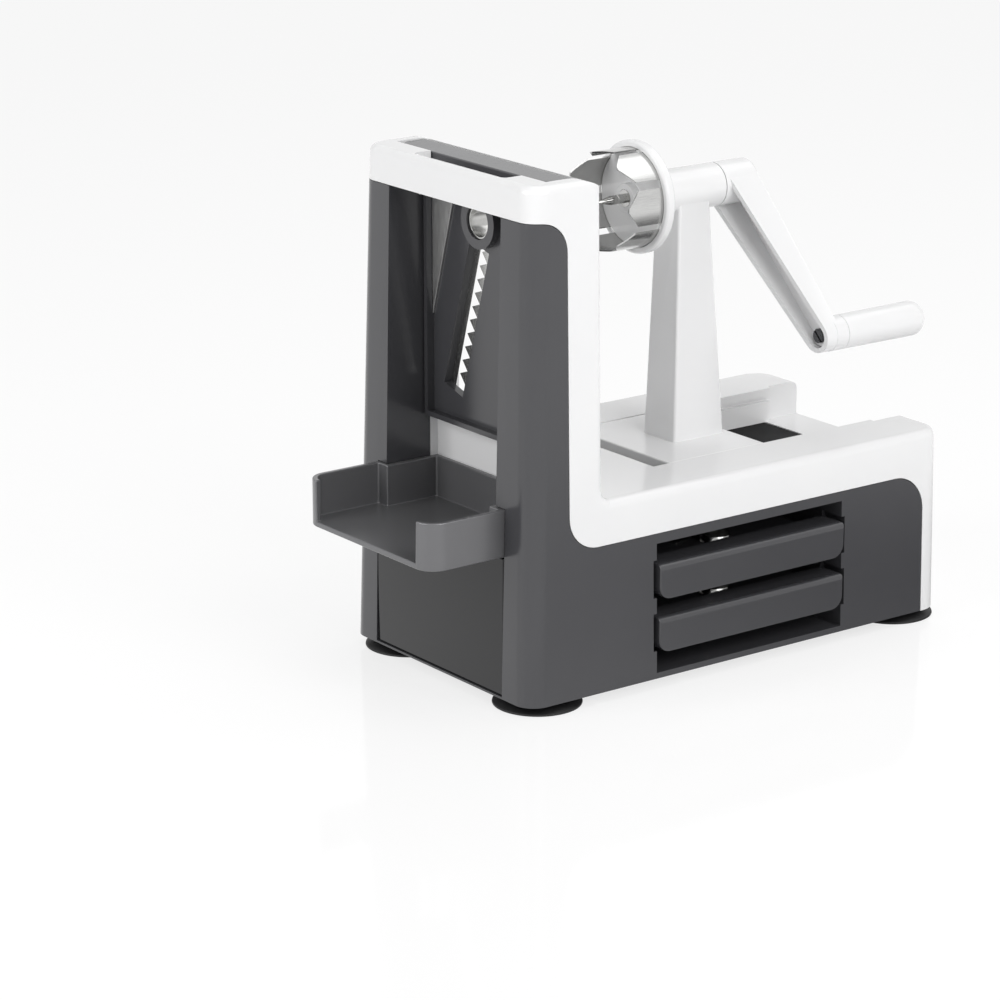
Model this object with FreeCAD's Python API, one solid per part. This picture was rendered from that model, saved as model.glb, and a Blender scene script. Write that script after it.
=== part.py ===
import FreeCAD, Part
import math
import os

# Hand cranked tabletop spiralizer, sizes in millimetres.
# The object is drawn from its front lower near corner: X runs along the base from the
# blade tower to the crank, Y runs across it from the near side, Z runs up from the
# underside of the base.  Every piece is then moved so that the middle of the whole
# object's footprint is the origin and the suction feet stand on Z = 0.

OVER = 5.0                 # how far a cutter reaches past a face
HIGH = 400.0               # above everything

# ---- driving sizes -------------------------------------------------------------
BASE_LENGTH = 252.0        # overall length of the base, X
BASE_WIDTH = 140.0         # overall width of the base, Y
DECK_HEIGHT = 90.0         # top of the two side rails above the underside
TOWER_HEIGHT = 237.5       # top of the cap above the underside
TOWER_DEPTH = 43.7         # tower, front to back
FOOT_HEIGHT = 5.0          # suction feet below the underside
FOOT_RADIUS = 20.8         # suction cup rim
FOOT_INSET = 19.5          # foot centres from the sides of the base
FOOT_REAR_INSET = 16.0     # rear feet from the rear end
DRAFT = 0.021              # lean of the outer walls, mm per mm of height
WALL = 3.0                 # moulded wall

SHAFT_HEIGHT = TOWER_HEIGHT - 28.5         # crank axis above the underside
PARTING_GAP = 0.3          # shadow gap between the dark housing and the white cover
SEAT_GAP = 0.25            # gap between a piece and the seat it rests in
SLIDE_GAP = 0.3            # gap on each side of a sliding piece
RUNNING_FIT = 0.05         # radial play of a turning fit

# ---- derived sizes of the body --------------------------------------------------
MID_Y = BASE_WIDTH / 2
FRONT_CORNER = 10.0        # plan radius of the two front corners
REAR_CORNER = 12.0         # plan radius of the two rear corners
TOWER_REAR_CORNER = 4.2    # plan radius of the tower's rear corners
CAP_ROUND = 4.0            # rounding of the cap's upper edge
CAP_FALL_LENGTH = 14.0     # the cap's top curves down to the rear over this length
CAP_FALL = 6.5             # and by this much
DECK_ROUND = 4.0           # rounding of the deck's upper edge
TOWER_FOOT_ROUND = 5.0     # hollow rounding where the tower meets the deck

SIDE_BAND = 20.3           # height of the white band along the base
SPLIT_Z = DECK_HEIGHT - SIDE_BAND
STRIP_X = 24.0             # where the white strip on the tower sides begins
CAP_HEIGHT = 16.3
CAP_Z = TOWER_HEIGHT - CAP_HEIGHT
REAR_STRIP = 13.4          # white strip at the rear end of the base
STRIP_ROUND = 16.0         # inner corner of the white L
CAP_STRIP_ROUND = 14.0     # corner between cap and strip
REAR_STRIP_ROUND = 18.0    # corner between band and rear strip

WINDOW_HALF = MID_Y - 27.4 # half of the gap between the uprights
LINING_X = 26.8            # back of the dark lining of the uprights
PLATE_T = 4.0              # cassette plate
FLANGE_X = LINING_X + PLATE_T + 2 * 0.25   # front of the rear flange

# ---- cassettes --------------------------------------------------------------------
CASSETTE_HALF = MID_Y - 20.0               # half width of the plate that runs in the grooves
LIP_HALF = MID_Y - 14.0                    # half width of the finger lip
LIP_HEIGHT = 15.5          # lip along the length of the cassette
LIP_DEPTH = 24.0           # lip through the thickness
LIP_FLAT = LIP_DEPTH - CAP_FALL_LENGTH     # flat part of the lip; the rest curves like the cap
LIP_WALL = 2.2
LIP_CORNER = 6.5
RIM = 4.0                  # rim on the front of the plate
RIM_WALL = 2.4
GUIDE_EDGE = 23.5          # edge of the guide plate beside the middle of the slot
GUIDE_T = 1.0
CASSETTE_LENGTH = min(BASE_WIDTH - 12.0, TOWER_HEIGHT - DECK_HEIGHT - 19.5)
LIP_X = TOWER_DEPTH - 0.4 - LIP_DEPTH      # front of the lip in the tower
PLATE_START = LINING_X + 0.25 - LIP_X      # plate face behind the front of the lip
CASSETTE_Z = TOWER_HEIGHT - 0.5 - CASSETTE_LENGTH
SILL_Z = CASSETTE_Z + 9.0  # top of the rear wall under the window
HUB_S = SHAFT_HEIGHT - CASSETTE_Z          # blade hub along the cassette
CORE_RADIUS = 8.0
SLOT_ANGLE = 16.0          # lean of the blade slot from the vertical, degrees
SLOT_START = 13.0
SLOT_END = (HUB_S - 16.0) / math.cos(math.radians(SLOT_ANGLE))
SLOT_WIDTH = 15.0
BLADE_T = 0.8
COMB_PITCH = 7.0
COMB_TOOTH = 5.0
FINE_PITCH = 4.5
FINE_TOOTH = 3.4
TIP_GAP = 1.2              # gap between the comb tips and the blade's edge
BLADE_WIDTH = 13.0
COMB_BACK = 7.0
RIVET_RADIUS = 1.4

# ---- cassette store in the near side ------------------------------------------------
STORE_X = 130.2            # middle of the store
STORE_HALF = LIP_HALF + SLIDE_GAP          # the opening takes a lip
STORE_NOTCH = 1.9          # finger notch on each side of a lip
NOTCH_LOW = 1.0            # notch above the lower face of the lip
NOTCH_HIGH = 19.0
STORE_FLOOR = 2.8
STORE_TOP = SPLIT_Z - 4.9
STORE_DEPTH = BASE_WIDTH - 7.0
STORE_STEP = LIP_DEPTH + 1.6               # spacing of the two stored cassettes
STORE_LOW = (STORE_FLOOR + STORE_TOP - STORE_STEP - LIP_DEPTH) * 0.684     # underside of the lower lip
STORE_PROUD = 1.3          # lips stand out of the side
LEDGE_T = 1.8              # ledges that carry the stored plates
LEDGE_HALF = CASSETTE_HALF - 3.5

# ---- carriage ---------------------------------------------------------------------
CHANNEL_FRONT = 97.0
CHANNEL_REAR = BASE_LENGTH - 23.0          # where the white rear deck begins
RAIL_WIDTH = 33.0          # side rails beside the channel
CHANNEL_HALF = MID_Y - RAIL_WIDTH
GROOVE_DEPTH = 2.6
GROOVE_Z = DECK_HEIGHT - 6.6
GROOVE_HEIGHT = 2.3
GROOVE_REAR = CHANNEL_REAR + 3.0
REAR_DECK_Z = DECK_HEIGHT - 17.0
PAD_TOP = REAR_DECK_Z - 0.5                # dark floor of the channel
STOP_MID = MID_Y - 17.0    # middle of the trench for the carriage stop
STOP_HALF = 8.0
STOP_GAP = 0.6
PLATE_FRONT = 107.0
PLATE_LENGTH = 58.0
COLUMN_FRONT = 130.2
COLUMN_FRONT_TOP = 133.5
COLUMN_REAR = 160.9
COLUMN_REAR_TOP = 152.6
COLUMN_HALF = 11.8
COLUMN_HALF_TOP = 9.1
BARREL_RADIUS = 10.5
BARREL_FRONT = 124.0
BARREL_REAR = 161.0

# ---- crank ----------------------------------------------------------------------
SHAFT_RADIUS = 4.0
SHAFT_FRONT = 108.0
DISC_RADIUS = 26.7
DISC_FRONT = 112.0
DISC_BACK = 117.2
DISC_HUB_RADIUS = 10.0
CROWN_RADIUS = 23.6
CROWN_T = 0.8
CROWN_LENGTH = 20.0
CROWN_TEETH = 7
CROWN_GAP = 4.0
ARM_ANGLE = 45.0           # the arm points to the near side and down
ARM_LENGTH = 0.748 * (SHAFT_HEIGHT - DECK_HEIGHT)
ARM_FACE = 163.3           # front face of the arm at the hub
ARM_FACE_END = 172.2       # front face of the arm at its outer end
ARM_BACK = 181.0
ARM_WIDTH = 19.6
ARM_WIDTH_END = 15.9
ARM_WALL = 2.3
ARM_WEB = 3.0
HUB_GAP = 0.5
BOSS_LENGTH = 5.0
GRIP_LENGTH = 50.6
GRIP_RADIUS = 8.2
GRIP_RADIUS_END = 8.4
AXLE_RADIUS = 2.5

# ---- chute and front panel --------------------------------------------------------
CHUTE_REACH = 40.0
CHUTE_LOW = DECK_HEIGHT - 23.0
CHUTE_HIGH = CHUTE_LOW + 22.3
CHUTE_WALL = 2.6
CHUTE_ROUND = 10.0
PANEL_T = 1.8
INSERT_HALF = MID_Y - 20.5 # half width of the seat that takes the chute and the front panel

REACH_REAR = BASE_LENGTH - FOOT_REAR_INSET + FOOT_RADIUS
SHIFT = FreeCAD.Vector(-(REACH_REAR - CHUTE_REACH) / 2, -MID_Y, FOOT_HEIGHT)
AXIS_X = FreeCAD.Vector(1, 0, 0)
AXIS_Y = FreeCAD.Vector(0, 1, 0)
AXIS_Z = FreeCAD.Vector(0, 0, 1)


def vec(x, y, z):
    return FreeCAD.Vector(x, y, z)


def box(x0, x1, y0, y1, z0, z1):
    """A block between two opposite corners."""
    return Part.makeBox(x1 - x0, y1 - y0, z1 - z0, vec(x0, y0, z0))


def rod(radius, x0, x1, y, z):
    """A round bar along X."""
    return Part.makeCylinder(radius, x1 - x0, vec(x0, y, z), AXIS_X)


def post(radius, x, y, z0, z1):
    """A round bar along Z."""
    return Part.makeCylinder(radius, z1 - z0, vec(x, y, z0), AXIS_Z)


def rounded_wire(x0, x1, y0, y1, z, r_front, r_rear):
    """Plan outline with one radius for the front corners and one for the rear ones."""
    a = math.sqrt(0.5)
    f, r = r_front, r_rear
    edges = [
        Part.LineSegment(vec(x0 + f, y0, z), vec(x1 - r, y0, z)).toShape(),
        Part.Arc(vec(x1 - r, y0, z), vec(x1 - r + r * a, y0 + r - r * a, z), vec(x1, y0 + r, z)).toShape(),
        Part.LineSegment(vec(x1, y0 + r, z), vec(x1, y1 - r, z)).toShape(),
        Part.Arc(vec(x1, y1 - r, z), vec(x1 - r + r * a, y1 - r + r * a, z), vec(x1 - r, y1, z)).toShape(),
        Part.LineSegment(vec(x1 - r, y1, z), vec(x0 + f, y1, z)).toShape(),
        Part.Arc(vec(x0 + f, y1, z), vec(x0 + f - f * a, y1 - f + f * a, z), vec(x0, y1 - f, z)).toShape(),
        Part.LineSegment(vec(x0, y1 - f, z), vec(x0, y0 + f, z)).toShape(),
        Part.Arc(vec(x0, y0 + f, z), vec(x0 + f - f * a, y0 + f - f * a, z), vec(x0 + f, y0, z)).toShape(),
    ]
    return Part.Wire(edges)


def tapered(low, high):
    """A straight sided block between two plan outlines."""
    return Part.makeLoft([low, high], True, True)


def top_edges(shape, z):
    """Edges that lie in the plane at height z."""
    return [e for e in shape.Edges
            if abs(e.BoundBox.ZMin - z) < 1e-4 and abs(e.BoundBox.ZMax - z) < 1e-4]


def prism_xz(points, y0, y1):
    """A block from an outline in X and Z, drawn through Y.

    Each point is (x, z) or (x, z, r) where r rounds that corner."""
    edges = []
    n = len(points)
    ends = []
    for i in range(n):
        x, z = points[i][0], points[i][1]
        r = points[i][2] if len(points[i]) > 2 else 0.0
        px, pz = points[i - 1][0], points[i - 1][1]
        qx, qz = points[(i + 1) % n][0], points[(i + 1) % n][1]
        if r == 0.0:
            ends.append((vec(x, y0, z), None, vec(x, y0, z)))
            continue
        a = vec(px - x, 0, pz - z)
        b = vec(qx - x, 0, qz - z)
        a.normalize()
        b.normalize()
        half = a.getAngle(b) / 2
        reach = r / math.tan(half)
        bis = a + b
        bis.normalize()
        corner = vec(x, y0, z)
        centre = corner + bis * (r / math.sin(half))
        mid = centre - bis * r
        ends.append((corner + a * reach, mid, corner + b * reach))
    for i in range(n):
        first, mid, last = ends[i]
        if mid is not None:
            edges.append(Part.Arc(first, mid, last).toShape())
        following = ends[(i + 1) % n][0]
        if last.distanceToPoint(following) > 1e-6:
            edges.append(Part.LineSegment(last, following).toShape())
    face = Part.Face(Part.Wire(edges))
    return face.extrude(vec(0, y1 - y0, 0))


def ring_x(outer, inner, x0, x1, y, z):
    """A tube along X."""
    return rod(outer, x0, x1, y, z).cut(rod(inner, x0 - 1, x1 + 1, y, z))


# ---- the outer hull ---------------------------------------------------------------
def tower_hull():
    lean = DRAFT * TOWER_HEIGHT
    low = rounded_wire(0, TOWER_DEPTH, 0, BASE_WIDTH, 0, FRONT_CORNER, TOWER_REAR_CORNER)
    high = rounded_wire(lean, TOWER_DEPTH, lean, BASE_WIDTH - lean, TOWER_HEIGHT, FRONT_CORNER, TOWER_REAR_CORNER)
    solid = tapered(low, high)
    solid = solid.makeFillet(CAP_ROUND, top_edges(solid, TOWER_HEIGHT))
    return solid.cut(rear_fall(TOWER_DEPTH - CAP_FALL_LENGTH, TOWER_HEIGHT, -20, BASE_WIDTH + 20))


def rear_fall(x, z, y0, y1):
    """Cutter for a top that leaves the level at x and curves down to the rear."""
    k = 0.5523
    a, b = CAP_FALL_LENGTH, CAP_FALL
    bend = Part.BezierCurve()
    bend.setPoles([vec(x, y0, z), vec(x + k * a, y0, z), vec(x + a, y0, z - b + k * b), vec(x + a, y0, z - b)])
    points = [vec(x + a, y0, z - b), vec(x + a + 10, y0, z - b), vec(x + a + 10, y0, z + 10), vec(x, y0, z + 10), vec(x, y0, z)]
    sides = [Part.LineSegment(points[i], points[i + 1]).toShape() for i in range(4)]
    return Part.Face(Part.Wire([bend.toShape()] + sides)).extrude(vec(0, y1 - y0, 0))


def base_hull():
    lean = DRAFT * DECK_HEIGHT
    low = rounded_wire(0, BASE_LENGTH, 0, BASE_WIDTH, 0, FRONT_CORNER, REAR_CORNER)
    high = rounded_wire(lean, BASE_LENGTH, lean, BASE_WIDTH - lean, DECK_HEIGHT, FRONT_CORNER, REAR_CORNER)
    solid = tapered(low, high)
    return solid.makeFillet(DECK_ROUND, top_edges(solid, DECK_HEIGHT))


def dark_region(gap):
    """The dark part of the side view: the tower front and the base under the band."""
    x1 = STRIP_X - gap
    z1 = SPLIT_Z - gap
    xr = BASE_LENGTH - REAR_STRIP - gap
    points = [
        (-20, -20), (xr, -20), (xr, z1, REAR_STRIP_ROUND), (x1, z1, STRIP_ROUND + gap),
        (x1, CAP_Z - gap, CAP_STRIP_ROUND), (-20, CAP_Z - gap),
    ]
    return prism_xz(points, -20, BASE_WIDTH + 20)


def foot_round():
    """Hollow rounding between the tower's rear face and the deck, with rounded ends."""
    r = TOWER_FOOT_ROUND
    x0, x1 = TOWER_DEPTH - 2 * DECK_ROUND, TOWER_DEPTH + r
    outlines = []
    for z in (DECK_HEIGHT - 2 * DECK_ROUND, DECK_HEIGHT + r):
        near, far = DRAFT * z, BASE_WIDTH - DRAFT * z
        corners = [vec(x0, near, z), vec(x1, near, z), vec(x1, far, z), vec(x0, far, z), vec(x0, near, z)]
        outlines.append(Part.makePolygon(corners))
    block = tapered(outlines[0], outlines[1])
    block = block.cut(Part.makeCylinder(r, BASE_WIDTH + 4, vec(x1, -2, DECK_HEIGHT + r), AXIS_Y))
    curved = [e for e in block.Edges if not isinstance(e.Curve, Part.Line) and e.BoundBox.YLength < 1.0]
    return block.makeFillet(DECK_ROUND - 0.1, curved)


def hull():
    return tower_hull().fuse([base_hull(), foot_round()])


# ---- housing and cover --------------------------------------------------------------
FLOOR_T = 1.6
FOOT_STEM = 4.0
FOOT_HEAD = 6.0
FOOT_SPOTS = [(FOOT_INSET, FOOT_INSET), (FOOT_INSET, BASE_WIDTH - FOOT_INSET),
              (BASE_LENGTH - FOOT_REAR_INSET, FOOT_INSET),
              (BASE_LENGTH - FOOT_REAR_INSET, BASE_WIDTH - FOOT_INSET)]
PANEL_SEAT = 3.0           # depth of the front panel's seat
PANEL_SILL = 1.0
RECESS_X = 9.0             # finger recess in front of the lip
RECESS_NEAR = MID_Y - 39.0
RECESS_FAR = MID_Y + 29.5
RECESS_DEPTH = 12.0
RECESS_CORNER = 2.5
GROOVE_HALF = CASSETTE_HALF + SLIDE_GAP
LINING_HALF = GROOVE_HALF + 2.0


def store_levels():
    return [STORE_LOW, STORE_LOW + STORE_STEP]


def floor_seat():
    """Room for the floor plate and for the heads of the feet."""
    gap = WALL
    low = rounded_wire(gap, BASE_LENGTH - gap, gap, BASE_WIDTH - gap, -1, FRONT_CORNER - gap, REAR_CORNER - gap)
    high = rounded_wire(gap, BASE_LENGTH - gap, gap, BASE_WIDTH - gap, FLOOR_T + SEAT_GAP,
                        FRONT_CORNER - gap, REAR_CORNER - gap)
    heads = [post(FOOT_HEAD + 0.8, x, y, 0, FLOOR_T + 5.0) for x, y in FOOT_SPOTS]
    return tapered(low, high).fuse(heads)


def room(x0, x1, top, r_front, r_rear):
    """Hollow in the housing, open to the floor plate."""
    inset = 2 * WALL
    low = rounded_wire(x0, x1, inset, BASE_WIDTH - inset, 0, r_front, r_rear)
    high = rounded_wire(x0, x1, inset, BASE_WIDTH - inset, top, r_front, r_rear)
    return tapered(low, high)


def make_housing(outer):
    body = outer.common(dark_region(PARTING_GAP))
    # lining of the uprights behind the strip line
    for y0, y1 in ((MID_Y - LINING_HALF, MID_Y - WINDOW_HALF), (MID_Y + WINDOW_HALF, MID_Y + LINING_HALF)):
        body = body.fuse(box(STRIP_X - 2, LINING_X, y0, y1, SPLIT_Z - 2, CAP_Z - PARTING_GAP))
    # dark floor of the carriage channel
    side = CHANNEL_HALF - SEAT_GAP
    pad = box(CHANNEL_FRONT + SEAT_GAP, CHANNEL_REAR - SEAT_GAP, MID_Y - side, MID_Y + side, SPLIT_Z - WALL, PAD_TOP)
    body = body.fuse(pad)
    # trench that the stop of the carriage runs in
    body = body.cut(box(CHANNEL_FRONT - OVER, CHANNEL_REAR + OVER, STOP_MID - STOP_HALF, STOP_MID + STOP_HALF,
                        SPLIT_Z - PARTING_GAP, HIGH))
    # window between the uprights, down to the chute floor
    body = body.cut(box(-OVER, LINING_X + OVER, MID_Y - WINDOW_HALF, MID_Y + WINDOW_HALF, CHUTE_LOW - SEAT_GAP, HIGH))
    # shallow seat that takes the chute and the front panel
    body = body.cut(box(-OVER, PANEL_SEAT, MID_Y - INSERT_HALF, MID_Y + INSERT_HALF, PANEL_SILL, CHUTE_HIGH + SEAT_GAP))
    body = body.cut(floor_seat())
    # hollows under the tower and behind the store
    side = STORE_HALF + 3 * WALL
    body = body.cut(room(2 * WALL, STORE_X - side, CHUTE_LOW - SEAT_GAP - WALL, FRONT_CORNER - 2 * WALL, 2.0))
    body = body.cut(room(STORE_X + side, BASE_LENGTH - REAR_STRIP - 2 * WALL,
                         SPLIT_Z - PARTING_GAP - 2 * WALL, 2.0, 6.0))
    # cassette store: the tunnel, a notch beside each lip, and ledges that carry the plates
    tunnel = box(STORE_X - STORE_HALF, STORE_X + STORE_HALF, -OVER, STORE_DEPTH, STORE_FLOOR, STORE_TOP)
    body = body.cut(tunnel)
    notch_half = STORE_HALF + STORE_NOTCH
    ledges = []
    for z in store_levels():
        body = body.cut(box(STORE_X - notch_half, STORE_X + notch_half, -OVER, LIP_HEIGHT - STORE_PROUD + 1.0,
                            z + NOTCH_LOW, z + NOTCH_HIGH))
        top = z + PLATE_START - SEAT_GAP
        for x0, x1 in ((STORE_X - STORE_HALF - 1, STORE_X - LEDGE_HALF), (STORE_X + LEDGE_HALF, STORE_X + STORE_HALF + 1)):
            ledges.append(box(x0, x1, LIP_HEIGHT + 2.0, STORE_DEPTH + 1, top - LEDGE_T, top))
    return body.fuse(ledges)


def make_cover(outer):
    body = outer.cut(dark_region(0.0))
    # room for the housing's lining
    for y0, y1 in ((MID_Y - LINING_HALF - SEAT_GAP, MID_Y - WINDOW_HALF),
                   (MID_Y + WINDOW_HALF, MID_Y + LINING_HALF + SEAT_GAP)):
        body = body.cut(box(STRIP_X - 2, LINING_X + SEAT_GAP, y0, y1, SPLIT_Z - 1, CAP_Z))
    # grooves that take the cassette plate
    body = body.cut(box(LINING_X, FLANGE_X, MID_Y - GROOVE_HALF, MID_Y + GROOVE_HALF, CASSETTE_Z - SEAT_GAP, HIGH))
    # window
    body = body.cut(box(-OVER, FLANGE_X, MID_Y - WINDOW_HALF, MID_Y + WINDOW_HALF, SPLIT_Z - 2, CAP_Z))
    body = body.cut(box(STRIP_X - 2, TOWER_DEPTH + OVER, MID_Y - WINDOW_HALF, MID_Y + WINDOW_HALF, SILL_Z, HIGH))
    # slot for the finger lip, open to the rear, and the finger recess in front of it
    slot_half = LIP_HALF + 0.5
    body = body.cut(box(LIP_X - 0.5, TOWER_DEPTH + OVER, MID_Y - slot_half, MID_Y + slot_half,
                        TOWER_HEIGHT - 0.5 - LIP_HEIGHT - 0.5, HIGH))
    low, high = TOWER_HEIGHT - RECESS_DEPTH, TOWER_HEIGHT + OVER
    r = RECESS_CORNER
    body = body.cut(tapered(rounded_wire(RECESS_X, LIP_X + 1, RECESS_NEAR, RECESS_FAR, low, r, 0.3),
                            rounded_wire(RECESS_X, LIP_X + 1, RECESS_NEAR, RECESS_FAR, high, r, 0.3)))
    # carriage channel down to the dark floor, and the rear deck
    near, far = MID_Y - CHANNEL_HALF, MID_Y + CHANNEL_HALF
    body = body.cut(box(CHANNEL_FRONT, CHANNEL_REAR, near, far, SPLIT_Z - OVER, HIGH))
    body = body.cut(box(CHANNEL_REAR - 1, GROOVE_REAR + 1, near, far, REAR_DECK_Z, HIGH))
    body = body.cut(floor_seat())
    near, far = near - GROOVE_DEPTH, far + GROOVE_DEPTH
    body = body.cut(box(GROOVE_REAR, BASE_LENGTH + OVER, near, far, REAR_DECK_Z, HIGH))
    body = body.cut(box(CHANNEL_FRONT, GROOVE_REAR + 1, near, far, GROOVE_Z, GROOVE_Z + GROOVE_HEIGHT))
    return body


def make_floor():
    gap = WALL + SEAT_GAP
    x1 = BASE_LENGTH - gap
    plate = tapered(rounded_wire(gap, x1, gap, BASE_WIDTH - gap, 0, FRONT_CORNER - gap, REAR_CORNER - gap),
                    rounded_wire(gap, x1, gap, BASE_WIDTH - gap, FLOOR_T, FRONT_CORNER - gap, REAR_CORNER - gap))
    return plate.cut([post(FOOT_STEM + SEAT_GAP, x, y, -1, FLOOR_T + 1) for x, y in FOOT_SPOTS])


def make_foot(x, y, stem_top):
    """Suction cup with a neck, a stem and a mushroom head."""
    h = FOOT_HEIGHT
    points = [(0, -h + 2.4), (FOOT_RADIUS * 0.62, -h + 1.5), (FOOT_RADIUS - 2.4, -h), (FOOT_RADIUS - 0.5, -h),
              (FOOT_RADIUS, -h + 0.4), (FOOT_RADIUS - 0.3, -h + 1.4), (FOOT_RADIUS * 0.72, -h + 3.0),
              (FOOT_RADIUS * 0.66, -h + 4.0), (FOOT_RADIUS * 0.66, -SEAT_GAP), (FOOT_STEM, -SEAT_GAP),
              (FOOT_STEM, stem_top), (FOOT_HEAD, stem_top), (FOOT_STEM - 1, stem_top + 3),
              (0, stem_top + 3)]
    wire = Part.makePolygon([vec(px, 0, pz) for px, pz in points] + [vec(points[0][0], 0, points[0][1])])
    solid = Part.Face(wire).revolve(vec(0, 0, 0), AXIS_Z, 360)
    solid.translate(vec(x, y, 0))
    return solid


def make_front_panel():
    g = SEAT_GAP
    x0 = PANEL_SEAT - g - PANEL_T
    half = INSERT_HALF - g
    panel = box(x0, x0 + PANEL_T, MID_Y - half, MID_Y + half, PANEL_SILL + g, CHUTE_LOW - 0.6)
    return panel.makeFillet(0.5, [e for e in panel.Edges if abs(e.BoundBox.XMax - x0) < 1e-4])


def straight(x0, x1, half, z0, z1, r_front):
    """Upright block on the middle line with rounded front corners."""
    return tapered(rounded_wire(x0, x1, MID_Y - half, MID_Y + half, z0, r_front, 1.0),
                   rounded_wire(x0, x1, MID_Y - half, MID_Y + half, z1, r_front, 1.0))


def make_chute():
    """Open tray: wide in front of the tower, narrower where it passes the uprights."""
    g = SEAT_GAP
    w = CHUTE_WALL
    wide, slim = INSERT_HALF - g, WINDOW_HALF - g
    x0, x1, x2 = -CHUTE_REACH, PANEL_SEAT - g, FLANGE_X - g
    body = straight(x0, x1, wide, CHUTE_LOW, CHUTE_HIGH, CHUTE_ROUND)
    body = body.fuse(straight(x1 - w, x2, slim, CHUTE_LOW, CHUTE_HIGH, 1.0))
    low = CHUTE_LOW + w
    body = body.cut([straight(x0 + w, x1 - w, wide - w, low, HIGH, CHUTE_ROUND - w),
                     straight(x1 - 3 * w, x2 - w, slim - w, low, HIGH, 1.0)])
    # the front is open between the rounded corners
    open_half = wide - CHUTE_ROUND
    return body.cut(box(x0 - 1, x0 + 2 * w, MID_Y - open_half, MID_Y + open_half, low, HIGH))


# ---- cassettes ------------------------------------------------------------------------
def slot_frame(r, across):
    """Point of the blade slot: r along the slot from the hub, across to its +u side."""
    a = math.radians(SLOT_ANGLE)
    u = r * math.sin(a) + across * math.cos(a)
    s = HUB_S - r * math.cos(a) + across * math.sin(a)
    return u, s


def flat_plate(points, t0, t1):
    """Outline in (u, s) given a thickness along t.  Local frame: t = X, u = Y, s = Z."""
    wire = Part.makePolygon([vec(t0, u, s) for u, s in points] + [vec(t0, points[0][0], points[0][1])])
    return Part.Face(wire).extrude(vec(t1 - t0, 0, 0))


def lip_section(inset):
    """Block with the profile of the finger lip, flat and then curving away, all offset inwards."""
    top = CASSETTE_LENGTH - inset
    t0, t1 = inset, LIP_DEPTH - inset
    low = CASSETTE_LENGTH - LIP_HEIGHT - (1.0 if inset else 0.0)
    k = 0.5523
    run = t1 - LIP_FLAT
    bend = Part.BezierCurve()
    bend.setPoles([vec(LIP_FLAT, 0, top), vec(LIP_FLAT + k * run, 0, top),
                   vec(t1, 0, top - CAP_FALL * (1 - k)), vec(t1, 0, top - CAP_FALL)])
    pts = [vec(t1, 0, top - CAP_FALL), vec(t1, 0, low), vec(t0, 0, low), vec(t0, 0, top), vec(LIP_FLAT, 0, top)]
    sides = [Part.LineSegment(pts[n], pts[n + 1]).toShape() for n in range(4)]
    face = Part.Face(Part.Wire([bend.toShape()] + sides))
    half = LIP_HALF - inset
    face.translate(vec(0, -half, 0))
    block = face.extrude(vec(0, 2 * half, 0))
    corners = [e for e in block.Edges if abs(e.BoundBox.XMax - t0) < 1e-6 and e.BoundBox.ZLength > 1]
    return block.makeFillet(LIP_CORNER - inset, corners)


def finger_lip():
    """Hollow lip on top of the plate, with a web that stands on the plate."""
    web = box(PLATE_START, PLATE_START + PLATE_T, -LIP_HALF, LIP_HALF, 0, HIGH)
    return lip_section(0).cut(lip_section(LIP_WALL).cut(web))


def cassette_frame():
    t0, t1 = PLATE_START, PLATE_START + PLATE_T
    lip_s = CASSETTE_LENGTH - LIP_HEIGHT
    frame = box(t0, t1, -CASSETTE_HALF, CASSETTE_HALF, 0, lip_s)
    # stiffening rim and hub pad on the front of the plate
    half = WINDOW_HALF - 1.0
    rib = box(t0 - RIM, t0 + 0.5, -half, half, 1.0, lip_s)
    rib = rib.cut(box(t0 - RIM - 1, t0 + 1, -half + RIM_WALL, half - RIM_WALL, 1.0 + RIM_WALL, lip_s + 1))
    pad = rod(CORE_RADIUS + 4.5, t0 - RIM, t0 + 0.5, 0, HUB_S)
    frame = frame.fuse([rib, pad.common(box(-50, 50, -50, 50, 0, lip_s))])
    # blade slot and hub bore
    side = SLOT_WIDTH / 2
    corners = [slot_frame(SLOT_START, -side), slot_frame(SLOT_START, side), slot_frame(SLOT_END, side), slot_frame(SLOT_END, -side)]
    frame = frame.cut(flat_plate(corners, -OVER, t1 + OVER))
    return frame.cut(rod(CORE_RADIUS + 0.1, -OVER, t1 + OVER, 0, HUB_S))


def guide_plate():
    """Thin steel plate beside the slot that the strands slide along, on the front of the plate."""
    edge = GUIDE_EDGE
    u1 = WINDOW_HALF - 1.0 - RIM_WALL - 0.3
    s1 = CASSETTE_LENGTH - LIP_HEIGHT - 2.0
    a = math.radians(SLOT_ANGLE)
    # the lower end is where the slanted edge meets the rim, the upper end is under the lip
    r_low = (u1 - edge * math.cos(a)) / math.sin(a)
    r_top = (HUB_S + edge * math.sin(a) - s1) / math.cos(a)
    return flat_plate([slot_frame(r_top, edge), slot_frame(r_low, edge), (u1, s1)], PLATE_START - GUIDE_T, PLATE_START)


def slicing_blade(reach_in):
    """Flat blade along one side of the slot; its ground edge stands over the slot."""
    t = PLATE_START + PLATE_T
    edge = SLOT_WIDTH / 2 - reach_in
    r0, r1 = SLOT_START - 2.0, SLOT_END + 2.0
    blade = flat_plate([slot_frame(r0, edge), slot_frame(r0, edge + BLADE_WIDTH), slot_frame(r1, edge + BLADE_WIDTH),
                        slot_frame(r1, edge)], t, t + BLADE_T)
    return blade


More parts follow.
